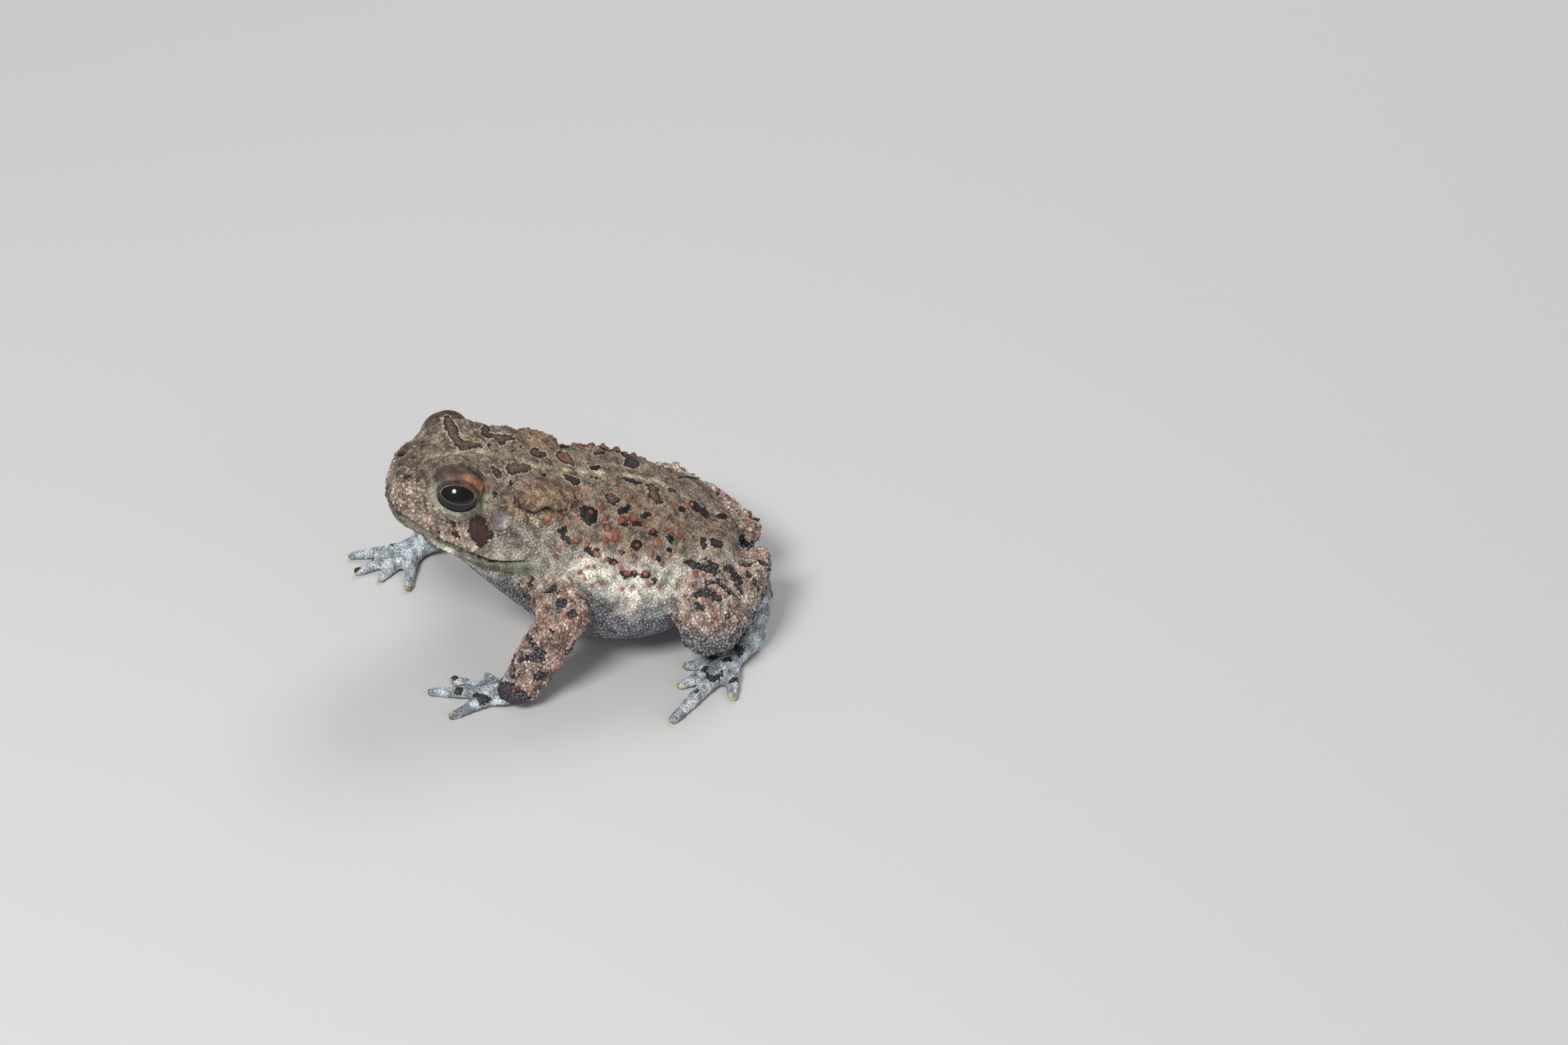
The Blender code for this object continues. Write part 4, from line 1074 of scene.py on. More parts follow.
def paint_ground(skin, masks, field, tree, colours, crease_shade, mouth, warts):
    """Ground colour of the skin, with painted shade along the head's creases, under the jaw and on low,
    downward-facing skin, and for each point the gap, size and red share of its granules and the amount of
    painted shade between them.
    """
    points, normals = skin.points, skin.normals
    wobble = noise_values(points, 5.0, 3.1)
    ripple = noise_values(points, 1.6, 8.7)
    height = points[:, 2] + 1.6 * wobble
    side = np.abs(points[:, 0])
    limb, foot = joined_mask(masks, LUMPY_PARTS), joined_mask(masks, ("hand", "foot"))
    flank = smooth_step(FLANK_TOP - height - 0.30 * (points[:, 1] - 4.0).clip(0), 0.0, 5.0)
    flank = flank * smooth_step(side, 6.0, 10.0)
    belly = smooth_step(BELLY_TOP - height + 0.65 * (8.0 - points[:, 1]).clip(0, 7.5), 0.0, 7.0)
    ground = np.tile(np.array(colours.back), (len(points), 1))
    ground = mix(ground, colours.flank, flank)
    # The belly's grey low on the body: partly its own colour, partly painted shade towards the bottom.
    ground = mix(ground, colours.belly, belly)
    ground = mix(ground, colours.limb, limb * (0.8 + 0.3 * ripple).clip(0, 1))
    knee = limb * smooth_step(13.0 - points[:, 2], 0.0, 4.5) * smooth_step(points[:, 1], 5.0, 10.0)
    hind = joined_mask(masks, ("thigh", "shank"))
    ground = mix(ground, colours.flank, 0.25 * hind)
    lump = noise_values(points, 1.2, 4.4, 2)
    ground = mix(ground, colours.pebble, 0.5 * limb * smooth_step(lump, 0.02, 0.25))
    ground = mix(ground, colours.rust, 0.4 * limb * smooth_step(-lump, 0.02, 0.25))
    ground = mix(ground, colours.knee, knee)
    ground = mix(ground, colours.foot, foot)
    # Downward-facing skin takes the belly's grey: partly the belly's own colour, partly painted shade under
    # the body, limbs and jaw.
    under = smooth_step(-normals[:, 2], 0.2, 0.8)
    ground = mix(ground, colours.belly, under * 0.8)
    stripe_gap = np.abs(points[:, 0] + 0.5 * wobble)
    stripe = (1 - smooth_step(stripe_gap, 0.25, 0.8)) * smooth_step(points[:, 2], 14.0, 20.0)
    stripe *= smooth_step(points[:, 1], -27.0, -21.0) * (0.8 + 0.8 * ripple).clip(0, 1)
    ground = mix(ground, colours.cream, stripe * 0.9)
    smooth = np.zeros(len(points))
    mouth_gap = np.full(len(points), 9.0)
    lid_gap = np.full(len(points), 9.0)
    cheek, jaw, tip = np.zeros(len(points)), np.zeros(len(points)), np.zeros(len(points))
    cheek_outline, jaw_outline = pixel_outline(tree, CHEEK_ZONE), pixel_outline(tree, JAW_ZONE)
    for (_, hand), (gap, below) in zip(SIDES, mouth):
        flip = flip_for(hand)
        cheek_here = field.zone(cheek_outline * flip, 1.2)
        jaw_here = field.zone(jaw_outline * flip, 1.6)
        cheek = np.maximum(cheek, cheek_here)
        jaw = np.maximum(jaw, jaw_here)
        ground = mix(ground, colours.cheek, cheek_here * (0.7 + 0.5 * ripple).clip(0, 1))
        ground = mix(ground, colours.jaw, jaw_here * 0.8)
        gland = 1 - smooth_step(gland_gap(points, hand), 0.9, 1.12)
        ground = mix(ground, colours.gland, gland)
        low_gland = gland * smooth_step(PAROTOID[2] + 0.4 - points[:, 2], -0.8, 1.2)
        ground = mix(ground, colours.cream, low_gland * smooth_step(ripple, -0.02, 0.20) * 0.75)
        drum_gap = lengths(points - TYMPANUM * flip)
        drum = 1 - smooth_step(drum_gap, 1.35, 1.85)
        ground = mix(ground, colours.drum, drum)
        ring = bell(drum_gap, 1.95, 0.22) * smooth_step(ripple, -0.3, 0.3)
        ground = mix(ground, colours.brown, 0.8 * ring)
        lip = (1 - smooth_step(gap, 0.60, 1.0)) * (0.55 + 0.45 * below)
        # Olive grey under the jaw: partly the throat's own colour, partly painted shade.
        throat = below * (1 - smooth_step(gap, 2.2, 4.0)) * smooth_step(points[:, 1], -21.0, -17.0)
        ground = mix(ground, colours.throat, throat * (1 - smooth_step(points[:, 1], -9.0, -6.0)))
        ground = mix(ground, colours.lip, lip)
        mouth_gap = np.minimum(mouth_gap, gap)
        radius, across, upward, unit = opening_coordinates(points, hand)
        spread = np.hypot(across, upward)
        close = (radius < eye_radius() + 1.5) & (unit @ eye_frame(hand)[1] > 0.0)
        behind = 0.28 * smooth_step(across, 0.2, 0.9) * smooth_step(0.9 - np.abs(upward), 0.0, 0.5)
        orbit = (1 - smooth_step(spread - behind, 1.36, 1.56)) * close
        ground = mix(ground, colours.orbit, orbit)
        above = smooth_step(upward + 0.12 * across, 0.3, 0.6) * (1 - smooth_step(spread, 1.8, 2.1)) * close
        ground = mix(ground, colours.lid, above)
        edge = above * (1 - smooth_step(spread, 1.04, 1.30)) * smooth_step(across, -0.9, 0.3)
        ground = mix(ground, colours.lid_edge, edge * (0.75 + 0.6 * ripple).clip(0, 1))
        lid_gap = np.where(close, np.minimum(lid_gap, spread), lid_gap)
        smooth = np.maximum(smooth, np.maximum.reduce((orbit, 0.65 * above, drum, lip * 0.8)))
        smooth = np.maximum(smooth, (1 - smooth_step(gap, 0.45, 0.75)))
    snout = smooth_step(-points[:, 1], 21.0, 27.0) * smooth_step(normals[:, 2], 0.1, 0.7) * masks["head"]
    ground = ground * (1 - 0.46 * snout)[:, None]
    # Painted shade along the head's creases, in the dark speck colour.
    ground = mix(ground, colours.speck, 0.7 * crease_shade * (1 - smooth))
    for place, radius, _ in warts:
        ring = 1 - smooth_step(lengths(points - place) / radius, 1.0, 1.9)
        ground = mix(ground, colours.rust, 0.45 * ring)
    for toe in toe_tips(points, foot):
        tip = np.maximum(tip, 1 - smooth_step(lengths(points - toe), 0.7, 1.3))
    ground = mix(ground, colours.toe, tip)
    smooth = np.maximum(smooth, tip)
    rough = np.maximum.reduce((flank * 0.8, belly, limb, jaw))
    trunk = np.maximum(masks["torso"], masks["head"]) * (1 - np.maximum(limb, foot).clip(0, 1))
    upper = trunk * (1 - belly) * (1 - 0.7 * flank)
    marked = 1 - smooth_step(field.distance, 0.05, 0.35)
    bumps = (0.5 + 0.5 * rough - 0.25 * foot - 0.4 * flank * (1 - belly)).clip(0, 1)
    # Painted shade in the gaps between granules on belly, limbs, jaw and cheek.
    deep = np.maximum.reduce((0.4 * belly * (1 - foot), 0.25 * limb, 0.35 * jaw, 0.4 * cheek))
    values = {
        "grain": bumps * (1 - 0.8 * smooth),
        "gap": 0.56 - 0.09 * belly + 0.03 * limb - 0.08 * foot + 0.10 * cheek,
        "size": (0.26 + 0.13 * limb + 0.18 * cheek + 0.03 * belly - 0.09 * foot) * (1 - 0.2 * under),
        "bare": np.maximum(smooth, upper * marked).clip(0, 1),
        "red": (0.30 * limb * smooth_step(ripple, -0.1, 0.2) + 0.02 * flank) * (1 - under) * (1 - knee),
        "pale": np.maximum(0.6 * belly, 0.2 * flank) * (1 - limb) * (1 - foot) + 0.5 * knee + 0.2 * jaw,
        "flat": np.maximum(foot, 0.6 * cheek),
        "buff": cheek,
        "speck": (0.7 + 0.2 * cheek - 0.6 * foot - 0.4 * np.maximum(belly, flank)) * (1 - smooth),
        "gap_shade": (deep * (1 - smooth)).clip(0, 1),
        "spiny": limb * (1 - knee),
        "lid_gap": lid_gap,
        "mouth_gap": mouth_gap,
    }
    return ground * (1 + 0.20 * ripple[:, None] * (1 - smooth[:, None]) + 0.10 * wobble[:, None]), values


def toe_tips(points, foot):
    """Ends of the fingers and toes: the points of hands and feet farthest from each palm or sole."""
    tips = []
    for part in ("hand", "foot"):
        for letter, side in SIDES:
            low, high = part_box(f"{part}_{letter}")
            low, high = np.array(low) / MM, np.array(high) / MM
            boxed = np.all((points > low - 0.3) & (points < high + 0.3), axis=1)
            inside = np.nonzero((foot > 0.6) & boxed)[0]
            heel = points[inside][np.argmax(points[inside][:, 2])]
            reach = lengths(points[inside] - heel)
            order = inside[np.argsort(-reach)]
            found = []
            for index in order:
                place = points[index]
                away = np.linalg.norm(place - heel)
                if len(found) == (4 if part == "hand" else 5) or away < 4.5:
                    break
                ring = inside[lengths(points[inside] - place) < 2.6]
                if away >= lengths(points[ring] - heel).max() - 0.05 and all(
                    np.linalg.norm(place - other) > 2.0 for other in found
                ):
                    found.append(place)
            tips += found
    return tips


def add_values(mesh, name, values):
    """Stores one number or colour for each vertex."""
    if values.ndim == 1:
        mesh.attributes.new(name, "FLOAT", "POINT").data.foreach_set("value", values.astype(np.float32))
    else:
        full = np.ones((len(values), 4), dtype=np.float32)
        full[:, :3] = values.clip(0, 1)
        mesh.attributes.new(name, "FLOAT_COLOR", "POINT").data.foreach_set("color", full.ravel())


class Graph:
    """Short calls for building a material's nodes."""

    def __init__(self, name):
        self.material = bpy.data.materials.new(name)
        self.material.use_nodes = True
        self.tree = self.material.node_tree
        self.shader = self.tree.nodes["Principled BSDF"]

    def node(self, kind, **settings):
        made = self.tree.nodes.new(kind)
        for key, value in settings.items():
            setattr(made, key, value)
        return made

    def link(self, source, socket):
        self.tree.links.new(source, socket)

    def attribute(self, name, output="Fac"):
        return self.node("ShaderNodeAttribute", attribute_name=name).outputs[output]

    def texture(self, kind, scale, **settings):
        """A texture on Object coordinates, features in millimetres."""
        made = self.node(kind, **settings)
        coordinates = self.node("ShaderNodeTexCoord")
        self.link(coordinates.outputs["Object"], made.inputs["Vector"])
        made.inputs["Scale"].default_value = 1.0 / (scale * MM)
        return made

    def math(self, operation, first, second):
        made = self.node("ShaderNodeMath", operation=operation)
        for socket, value in zip(made.inputs, (first, second)):
            if isinstance(value, (int, float)):
                socket.default_value = value
            else:
                self.link(value, socket)
        return made.outputs[0]

    def ramp(self, value, low, high, start=0.0, end=1.0):
        made = self.node("ShaderNodeMapRange", interpolation_type="SMOOTHSTEP")
        self.link(value, made.inputs["Value"])
        made.inputs["From Min"].default_value = low
        made.inputs["From Max"].default_value = high
        made.inputs["To Min"].default_value = start
        made.inputs["To Max"].default_value = end
        return made.outputs[0]

    def mix(self, factor, first, second, blend="MIX"):
        made = self.node("ShaderNodeMix", data_type="RGBA", blend_type=blend)
        sockets = (made.inputs["Factor"], factor), (made.inputs["A"], first), (made.inputs["B"], second)
        for socket, value in sockets:
            if isinstance(value, (int, float)):
                socket.default_value = value
            elif isinstance(value, (tuple, list)):
                socket.default_value = (*value[:3], 1.0)
            else:
                self.link(value, socket)
        return made.outputs["Result"]


def mix_sockets(node):
    """The factor and colour sockets of a colour mix."""
    return node.inputs[0], node.inputs[6], node.inputs[7], node.outputs[2]


def skin_material(colours, beads):
    """Skin finish: ground colour, mottling, dark patches with pale outlines, and granular relief, with
    painted shade in the skin's grooves and gaps, round the eye opening and in the mouth's line, and on
    granules painted shade at the base and painted light on top.
    """
    graph = Graph("toad_granule" if beads else "toad_skin")
    ground = graph.attribute("ground", "Color")
    coarse = graph.texture("ShaderNodeTexNoise", 1.9)
    coarse.inputs["Detail"].default_value = 6.0
    fine = graph.texture("ShaderNodeTexNoise", 0.32)
    fine.inputs["Detail"].default_value = 4.0
    colour = colour_times(graph, ground, graph.ramp(coarse.outputs["Fac"], 0.35, 0.65, 0.50, 1.42))
    colour = colour_times(graph, colour, graph.ramp(fine.outputs["Fac"], 0.32, 0.68, 0.58, 1.32))
    cells = graph.texture("ShaderNodeTexVoronoi", 0.46)
    pebble = graph.ramp(cells.outputs["Distance"], 0.1, 0.75, 1.0, 0.0)
    grain = graph.attribute("grain")
    flecks = graph.texture("ShaderNodeTexNoise", 0.9)
    flecks.inputs["Detail"].default_value = 5.0
    fleck_strength = graph.ramp(flecks.outputs["Fac"], 0.53, 0.61, 0.0, 0.55)
    fleck = graph.math("MULTIPLY", fleck_strength, graph.attribute("speck"))
    colour = graph_mix(graph, fleck, colour, colours.cream)
    dots = graph.texture("ShaderNodeTexNoise", 0.8)
    dots.inputs["Detail"].default_value = 3.0
    dot_strength = graph.ramp(dots.outputs["Fac"], 0.62, 0.69, 0.0, 0.8)
    dot = graph.math("MULTIPLY", dot_strength, graph.attribute("speck"))
    colour = graph_mix(graph, dot, colour, colours.speck)
    if beads:
        pale_strength = graph.ramp(graph.attribute("crown"), 0.2, 0.85, 0.0, 0.55)
        pale = graph.math("MULTIPLY", pale_strength, graph.attribute("pale"))
        colour = graph_mix(graph, pale, colour, colours.bead)
        # Painted shade at the base of each granule and painted light on its top.
        colour = colour_times(graph, colour, graph.ramp(graph.attribute("crown"), 0.1, 0.9, 0.8, 1.1))
        colour = colour_times(graph, colour, graph.attribute("tone"))
    else:
        # Painted shade in the grooves between the skin's pebbles, and painted light on their middles.
        groove_shade = graph.math("MULTIPLY", graph.math("SUBTRACT", 1.0, pebble), grain)
        colour = colour_times(graph, colour, graph.ramp(groove_shade, 0.0, 1.0, 1.08, 0.6))
        # Painted shade in the gaps between the granules.
        colour = colour_times(graph, colour, graph.ramp(graph.attribute("gap_shade"), 0.0, 1.0, 1.0, 0.5))
        # Painted shade round the eye opening, where the lids meet the ball, in the dark speck colour.
        lid_rim_shade = graph.ramp(graph.attribute("lid_gap"), 1.01, 1.05, 0.7, 0.0)
        colour = graph_mix(graph, lid_rim_shade, colour, colours.speck)
        # The mouth's line painted black: painted shade in its groove.
        mouth_shade = graph.ramp(graph.attribute("mouth_gap"), 0.12, 0.34, 0.96, 0.0)
        colour = graph_mix(graph, mouth_shade, colour, colours.black)
    edge_noise = graph.texture("ShaderNodeTexNoise", 0.6)
    edge_noise.inputs["Detail"].default_value = 5.0
    wander = graph.ramp(edge_noise.outputs["Fac"], 0.25, 0.75, -0.26, 0.26)
    distance = graph.math("ADD", graph.attribute("patch"), wander)
    halo = graph.math("MULTIPLY", graph.ramp(distance, 0.12, 0.42, 0.85, 0.0), graph.attribute("halo"))
    halo = graph.math("MULTIPLY", halo, graph.ramp(fine.outputs["Fac"], 0.34, 0.54, 0.45, 1.0))
    colour = graph_mix(graph, halo, colour, colours.cream)
    colour = graph_mix(graph, graph.ramp(distance, 0.0, 0.07, 0.96, 0.0), colour, colours.black)
    inner = graph.ramp(distance, -0.46, -0.24, 0.94, 0.0)
    fill_tone = graph.ramp(edge_noise.outputs["Fac"], 0.3, 0.7, 0.55, 1.5)
    fill = colour_times(graph, graph.attribute("fill", "Color"), fill_tone)
    fill = colour_times(graph, fill, graph.ramp(fine.outputs["Fac"], 0.32, 0.68, 0.7, 1.3))
    colour = graph_mix(graph, inner, colour, fill)
    if beads:
        lift_strength = graph.ramp(graph.attribute("crown"), 0.4, 0.95, 0.0, 0.18)
        lift = graph.math("MULTIPLY", lift_strength, graph.ramp(distance, 0.0, 0.07, 1.0, 0.0))
        colour = graph_mix(graph, lift, colour, colours.bead)
        tip_strength = graph.ramp(graph.attribute("crown"), 0.3, 0.95, 0.15, 0.92)
        tip = graph.math("MULTIPLY", tip_strength, graph.attribute("tip"))
        tip = graph.math("MULTIPLY", tip, graph.ramp(fine.outputs["Fac"], 0.3, 0.55, 0.55, 1.0))
        colour = graph_mix(graph, tip, colour, graph.attribute("tip_colour", "Color"))
    graph.link(colour, graph.shader.inputs["Base Color"])
    graph.link(graph.ramp(fine.outputs["Fac"], 0.3, 0.7, 0.42, 0.66), graph.shader.inputs["Roughness"])
    bump = graph.node("ShaderNodeBump")
    bump.inputs["Strength"].default_value = 1.0
    bump.inputs["Distance"].default_value = 0.16 * MM
    if beads:
        graph.link(fine.outputs["Fac"], bump.inputs["Height"])
    else:
        height = graph.math("MULTIPLY", pebble, grain)
        height = graph.math("ADD", height, graph.math("MULTIPLY", fine.outputs["Fac"], 0.8))
        summed = graph.math("ADD", height, graph.math("MULTIPLY", coarse.outputs["Fac"], 2.2))
        graph.link(summed, bump.inputs["Height"])
    graph.link(bump.outputs["Normal"], graph.shader.inputs["Normal"])
    return graph.material


def graph_mix(graph, factor, first, second):
    """A colour mix whose second colour is a constant or a socket."""
    made = graph.node("ShaderNodeMix", data_type="RGBA")
    weight, one, two, result = mix_sockets(made)
    graph.link(factor, weight)
    graph.link(first, one)
    if hasattr(second, "links"):
        graph.link(second, two)
    else:
        two.default_value = (*tuple(second)[:3], 1.0)
    return result


def colour_times(graph, colour, factor):
    """A colour made lighter or darker by a number."""
    made = graph.node("ShaderNodeVectorMath", operation="SCALE")
    graph.link(colour, made.inputs[0])
    graph.link(factor, made.inputs["Scale"])
    return made.outputs[0]


def add_piece(mesh, name, material):
    """Puts a finished mesh in the scene as a piece of the toad."""
    piece = bpy.data.objects.new(name, mesh)
    bpy.context.collection.objects.link(piece)
    mesh.materials.clear()
    mesh.materials.append(material)
    mesh.polygons.foreach_set("use_smooth", [True] * len(mesh.polygons))
    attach(piece, "root")
    return piece


class TOAD_OT_skin(bpy.types.Operator):
    """Makes the skin that covers all the flesh"""

    bl_idname = "toad.skin"
    bl_label = "Skin"

    def execute(self, context):
        shape = context.scene.toad_shape
        colours = context.scene.toad_colours
        mesh = fused_flesh(shape)
        mesh.name = "skin"
        refine(mesh, needs_detail)
        skin = Skin(mesh)
        points = relax(skin.points, skin.edges, shape.smooth_steps)
        skin.store(points)
        skin.store(skin.points - skin.normals * (shape.swell / MM) * 0.85)
        masks = part_masks(skin.points, skin.edges)
        bumpy = 1.2 - 0.5 * masks["head"]
        skin.store(fold_skin(skin.points, skin.normals, masks, skin.edges))
        cobble = cobble_values(skin.points, 1.1) * bumpy * shape.cobble / MM
        limbs = joined_mask(masks, LUMPY_PARTS)
        lumps = TORSO_LUMPS * noise_values(skin.points, 1.8, 2.3) * masks["torso"]
        lumps += LIMB_LUMPS * noise_values(skin.points, 1.2, 4.4, 2) * limbs
        skin.store(skin.points + skin.normals * (cobble + lumps)[:, None])
        skin.store(shape_glands(skin.points, skin.normals))
        lined, crease_shade = raise_lines(skin.points, skin.normals, skin_tree(mesh))
        skin.store(lined)
        skin.store(shape_drum(skin.points, skin.normals))
        skin.store(shape_lids(skin.points, skin.normals, skin.edges))
        skin.store(soften_corners(skin))
        carved, mouth = carve_mouth(skin.points, skin.normals, shape, skin_tree(mesh))
        skin.store(carved)
        warts = wart_places(skin_tree(mesh), shape.seed)
        skin.store(raise_warts(skin.points, skin.normals, warts))
        tree = skin_tree(mesh)
        nostril = place_under(tree, NOSTRIL_PIXEL)
        nostril_gap = np.full(len(skin.points), FAR)
        for _, side in SIDES:
            pit = nostril * flip_for(side)
            nostril_gap = np.minimum(nostril_gap, lengths(skin.points - pit))
            skin.store(dent(skin.points, skin.normals, pit, *NOSTRIL))
        field = draw_patches(skin, tree, masks, colours, shape.seed)
        raised = PATCH_RISE * smooth_step(-field.distance, 0.1, 0.9)
        skin.store(skin.points + skin.normals * raised[:, None])
        keep_on_floor(skin)
        ground, values = paint_ground(skin, masks, field, tree, colours, crease_shade, mouth, warts)
        # The nostrils painted black: painted shade inside each pit.
        ground = mix(ground, colours.black, 0.96 * (1 - smooth_step(nostril_gap, 0.55, 0.85)))
        values["bare"] = np.maximum(values["bare"], 1.0 * (nostril_gap < 1.1))
        values["speck"] = values["speck"] * smooth_step(nostril_gap, 0.5, 0.9)
        add_values(mesh, "ground", ground)
        add_values(mesh, "patch", field.distance)
        add_values(mesh, "fill", field.fill)
        add_values(mesh, "halo", field.halo)
        for name, numbers in values.items():
            add_values(mesh, name, numbers)
        piece = add_piece(mesh, "skin", skin_material(colours, False))
        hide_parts(*FLESH)
        return {"FINISHED"}


def keep_on_floor(skin):
    """Flattens what lies under the floor's level."""
    points = skin.points.copy()
    points[:, 2] = points[:, 2].clip(0.0)
    skin.store(points)


def read_values(mesh, name):
    """Numbers or colours stored for each vertex."""
    attribute = mesh.attributes[name]
    if attribute.data_type == "FLOAT":
        values = np.empty(len(mesh.vertices), dtype=np.float32)
        attribute.data.foreach_get("value", values)
        return values
    values = np.empty(len(mesh.vertices) * 4, dtype=np.float32)
    attribute.data.foreach_get("color", values)
    return values.reshape(-1, 4)[:, :3]


def dome(segments, rings, power):
    """Points and faces of one closed granule of unit radius, its flat base just under the skin."""
    work = bmesh.new()
    bmesh.ops.create_uvsphere(work, u_segments=segments, v_segments=rings, radius=1.0)
    cut = bmesh.ops.bisect_plane(
        work, geom=work.verts[:] + work.edges[:] + work.faces[:],
        dist=1e-4, plane_co=(0.0, 0.0, 0.0), plane_no=(0.0, 0.0, -1.0), clear_outer=True,
    )
    rim = [part for part in cut["geom_cut"] if isinstance(part, bmesh.types.BMEdge)]
    bmesh.ops.contextual_create(work, geom=rim)
    bmesh.ops.recalc_face_normals(work, faces=work.faces[:])
    work.verts.index_update()
    points = np.array([tuple(vert.co) for vert in work.verts])
    faces = [[vert.index for vert in face.verts] for face in work.faces]
    work.free()
    height = points[:, 2].clip(0.0, 1.0)
    points[:, 2] = np.where(points[:, 2] > 1e-4, height**power, -0.25)
    return points, faces, height


def unwrapped_skin(skin):
    """Light copy of the skin, unwrapped: its search tree, its triangles' corners and their UVs."""
    copy = bpy.data.objects.new("unwrap", skin.data.copy())
    bpy.context.collection.objects.link(copy)
    thin = copy.modifiers.new("Thin", "DECIMATE")
    thin.ratio = 0.05
    graph = bpy.context.evaluated_depsgraph_get()
    light = bpy.data.meshes.new_from_object(copy.evaluated_get(graph))
    copy.modifiers.clear()
    copy.data = light
    for other in bpy.context.selected_objects:
        other.select_set(False)
    bpy.context.view_layer.objects.active = copy
    copy.select_set(True)
    bpy.ops.object.mode_set(mode="EDIT")
    bpy.ops.mesh.select_all(action="SELECT")
    bpy.ops.mesh.quads_convert_to_tris()
    bpy.ops.uv.smart_project(angle_limit=math.radians(66), island_margin=0.004)
    bpy.ops.object.mode_set(mode="OBJECT")
    points = mesh_points(light)
    corners = np.empty(len(light.loops), dtype=np.int64)
    light.loops.foreach_get("vertex_index", corners)
    places = np.empty(len(light.loops) * 2)
    light.uv_layers.active.data.foreach_get("uv", places)
    corners = corners.reshape(-1, 3)
    tree = BVHTree.FromPolygons([tuple(point) for point in points], corners.tolist())
    bpy.data.objects.remove(copy)
    return tree, points[corners], places.reshape(-1, 3, 2)


def root_uvs(unwrap, roots):
    """Each root's place on the unwrap of the skin."""
    tree, corners, places = unwrap
    result = np.empty((len(roots), 2))
    for index, root in enumerate(roots):
        place, _, face, _ = tree.find_nearest(Vector(root))
        a, b, c = corners[face]
        ab, ac, ap = b - a, c - a, np.array(place) - a
        d00, d01, d11, d20, d21 = ab @ ab, ab @ ac, ac @ ac, ap @ ab, ap @ ac
        scale = max(d00 * d11 - d01 * d01, 1e-12)
        v = (d11 * d20 - d01 * d21) / scale
        w = (d00 * d21 - d01 * d20) / scale
        result[index] = (1 - v - w) * places[face][0] + v * places[face][1] + w * places[face][2]
    return result


def scatter_mesh(name, pattern, roots, normals, sizes, rng, unwrap, values):
    """One mesh of many granules, each standing on its root."""
    unit, faces, height = pattern
    each = len(unit)
    first = np.cross(normals, (0.31, 0.92, 0.23))
    first /= lengths(first)[:, None]
    second = np.cross(normals, first)
    turns = rng.uniform(0.0, math.tau, len(roots))
    cosine, sine = np.cos(turns)[:, None], np.sin(turns)[:, None]
    axes = np.stack((first * cosine + second * sine, second * cosine - first * sine, normals), axis=1)
    uneven = unit[None, :, :] * rng.uniform(0.84, 1.14, (len(roots), each, 1))
    points = roots[:, None, :] + np.einsum("npk,nk,nkc->npc", uneven, sizes, axes)
    mesh = bpy.data.meshes.new(name)
    corner_count = np.array([len(face) for face in faces])
    corners = np.concatenate([np.array(face) for face in faces])
    count = len(roots)
    all_corners = (corners[None, :] + (np.arange(count) * each)[:, None]).ravel()
    all_counts = np.tile(corner_count, count)
    starts = np.concatenate(([0], np.cumsum(all_counts)[:-1]))
    mesh.vertices.add(count * each)
    mesh.vertices.foreach_set("co", (points.reshape(-1, 3) * MM).ravel())
    mesh.loops.add(len(all_corners))
    mesh.loops.foreach_set("vertex_index", all_corners)
    mesh.polygons.add(len(all_counts))
    mesh.polygons.foreach_set("loop_start", starts)
    mesh.update(calc_edges=True)
    mesh.validate()
    patch = root_uvs(unwrap, roots)[:, None, :] + unit[None, :, :2] * BAKE_PATCH * 0.5
    layer = mesh.uv_layers.new(name="OFBake")
    layer.data.foreach_set("uv", patch.reshape(-1, 2)[all_corners].ravel())
    add_values(mesh, "crown", np.tile(height, count))
    for key, numbers in values.items():
        add_values(mesh, key, np.repeat(numbers, each, axis=0))
    return mesh


def has_room(grid, cell, place, reach):
    """True where no place kept so far lies within reach."""
    span = range(-int(reach // GRID_CELL) - 1, int(reach // GRID_CELL) + 2)
    for dx, dy, dz in itertools.product(span, repeat=3):
        for other in grid.get((cell[0] + dx, cell[1] + dy, cell[2] + dz), ()):
            if np.dot(other - place, other - place) < reach * reach:
                return False
    return True


def scatter_places(mesh, spacing, rng):
    """Random places on the skin no nearer each other than their gaps: faces, places and normals."""
    points, normals, gaps = mesh_points(mesh), mesh_normals(mesh), read_values(mesh, "gap") * spacing
    bare = read_values(mesh, "bare")
    mesh.calc_loop_triangles()
    triangles = np.empty(len(mesh.loop_triangles) * 3, dtype=np.int64)
    mesh.loop_triangles.foreach_get("vertices", triangles)
    triangles = triangles.reshape(-1, 3)
    a, b, c = (points[triangles[:, corner]] for corner in range(3))
    area = lengths(np.cross(b - a, c - a)) / 2
    gap = gaps[triangles[:, 0]]
    weight = area / gap**2 * (bare[triangles[:, 0]] < 0.5) * (a[:, 2] > 0.35)
    tries = int(weight.sum() * 3.0)
    chosen = rng.choice(len(triangles), tries, p=weight / weight.sum())
    u, v = rng.random(tries), rng.random(tries)
    flip = u + v > 1
    u[flip], v[flip] = 1 - u[flip], 1 - v[flip]
    places = a[chosen] + u[:, None] * (b - a)[chosen] + v[:, None] * (c - a)[chosen]
    grid = {}
    kept = []
    for index, (place, reach) in enumerate(zip(places, gap[chosen])):
        cell = tuple((place // GRID_CELL).astype(int))
        if has_room(grid, cell, place, reach):
            grid.setdefault(cell, []).append(place)
            kept.append(index)
    kept = np.array(kept)
    corner = triangles[chosen[kept], 0]
    return corner, places[kept], normals[corner]


def red_tones(tones, colours):
    """Colours between the darkest red and the palest orange."""
    dark, pale = np.array(colours.dark_red), np.array(colours.orange)
    return dark + (pale - dark) * np.asarray(tones)[:, None]


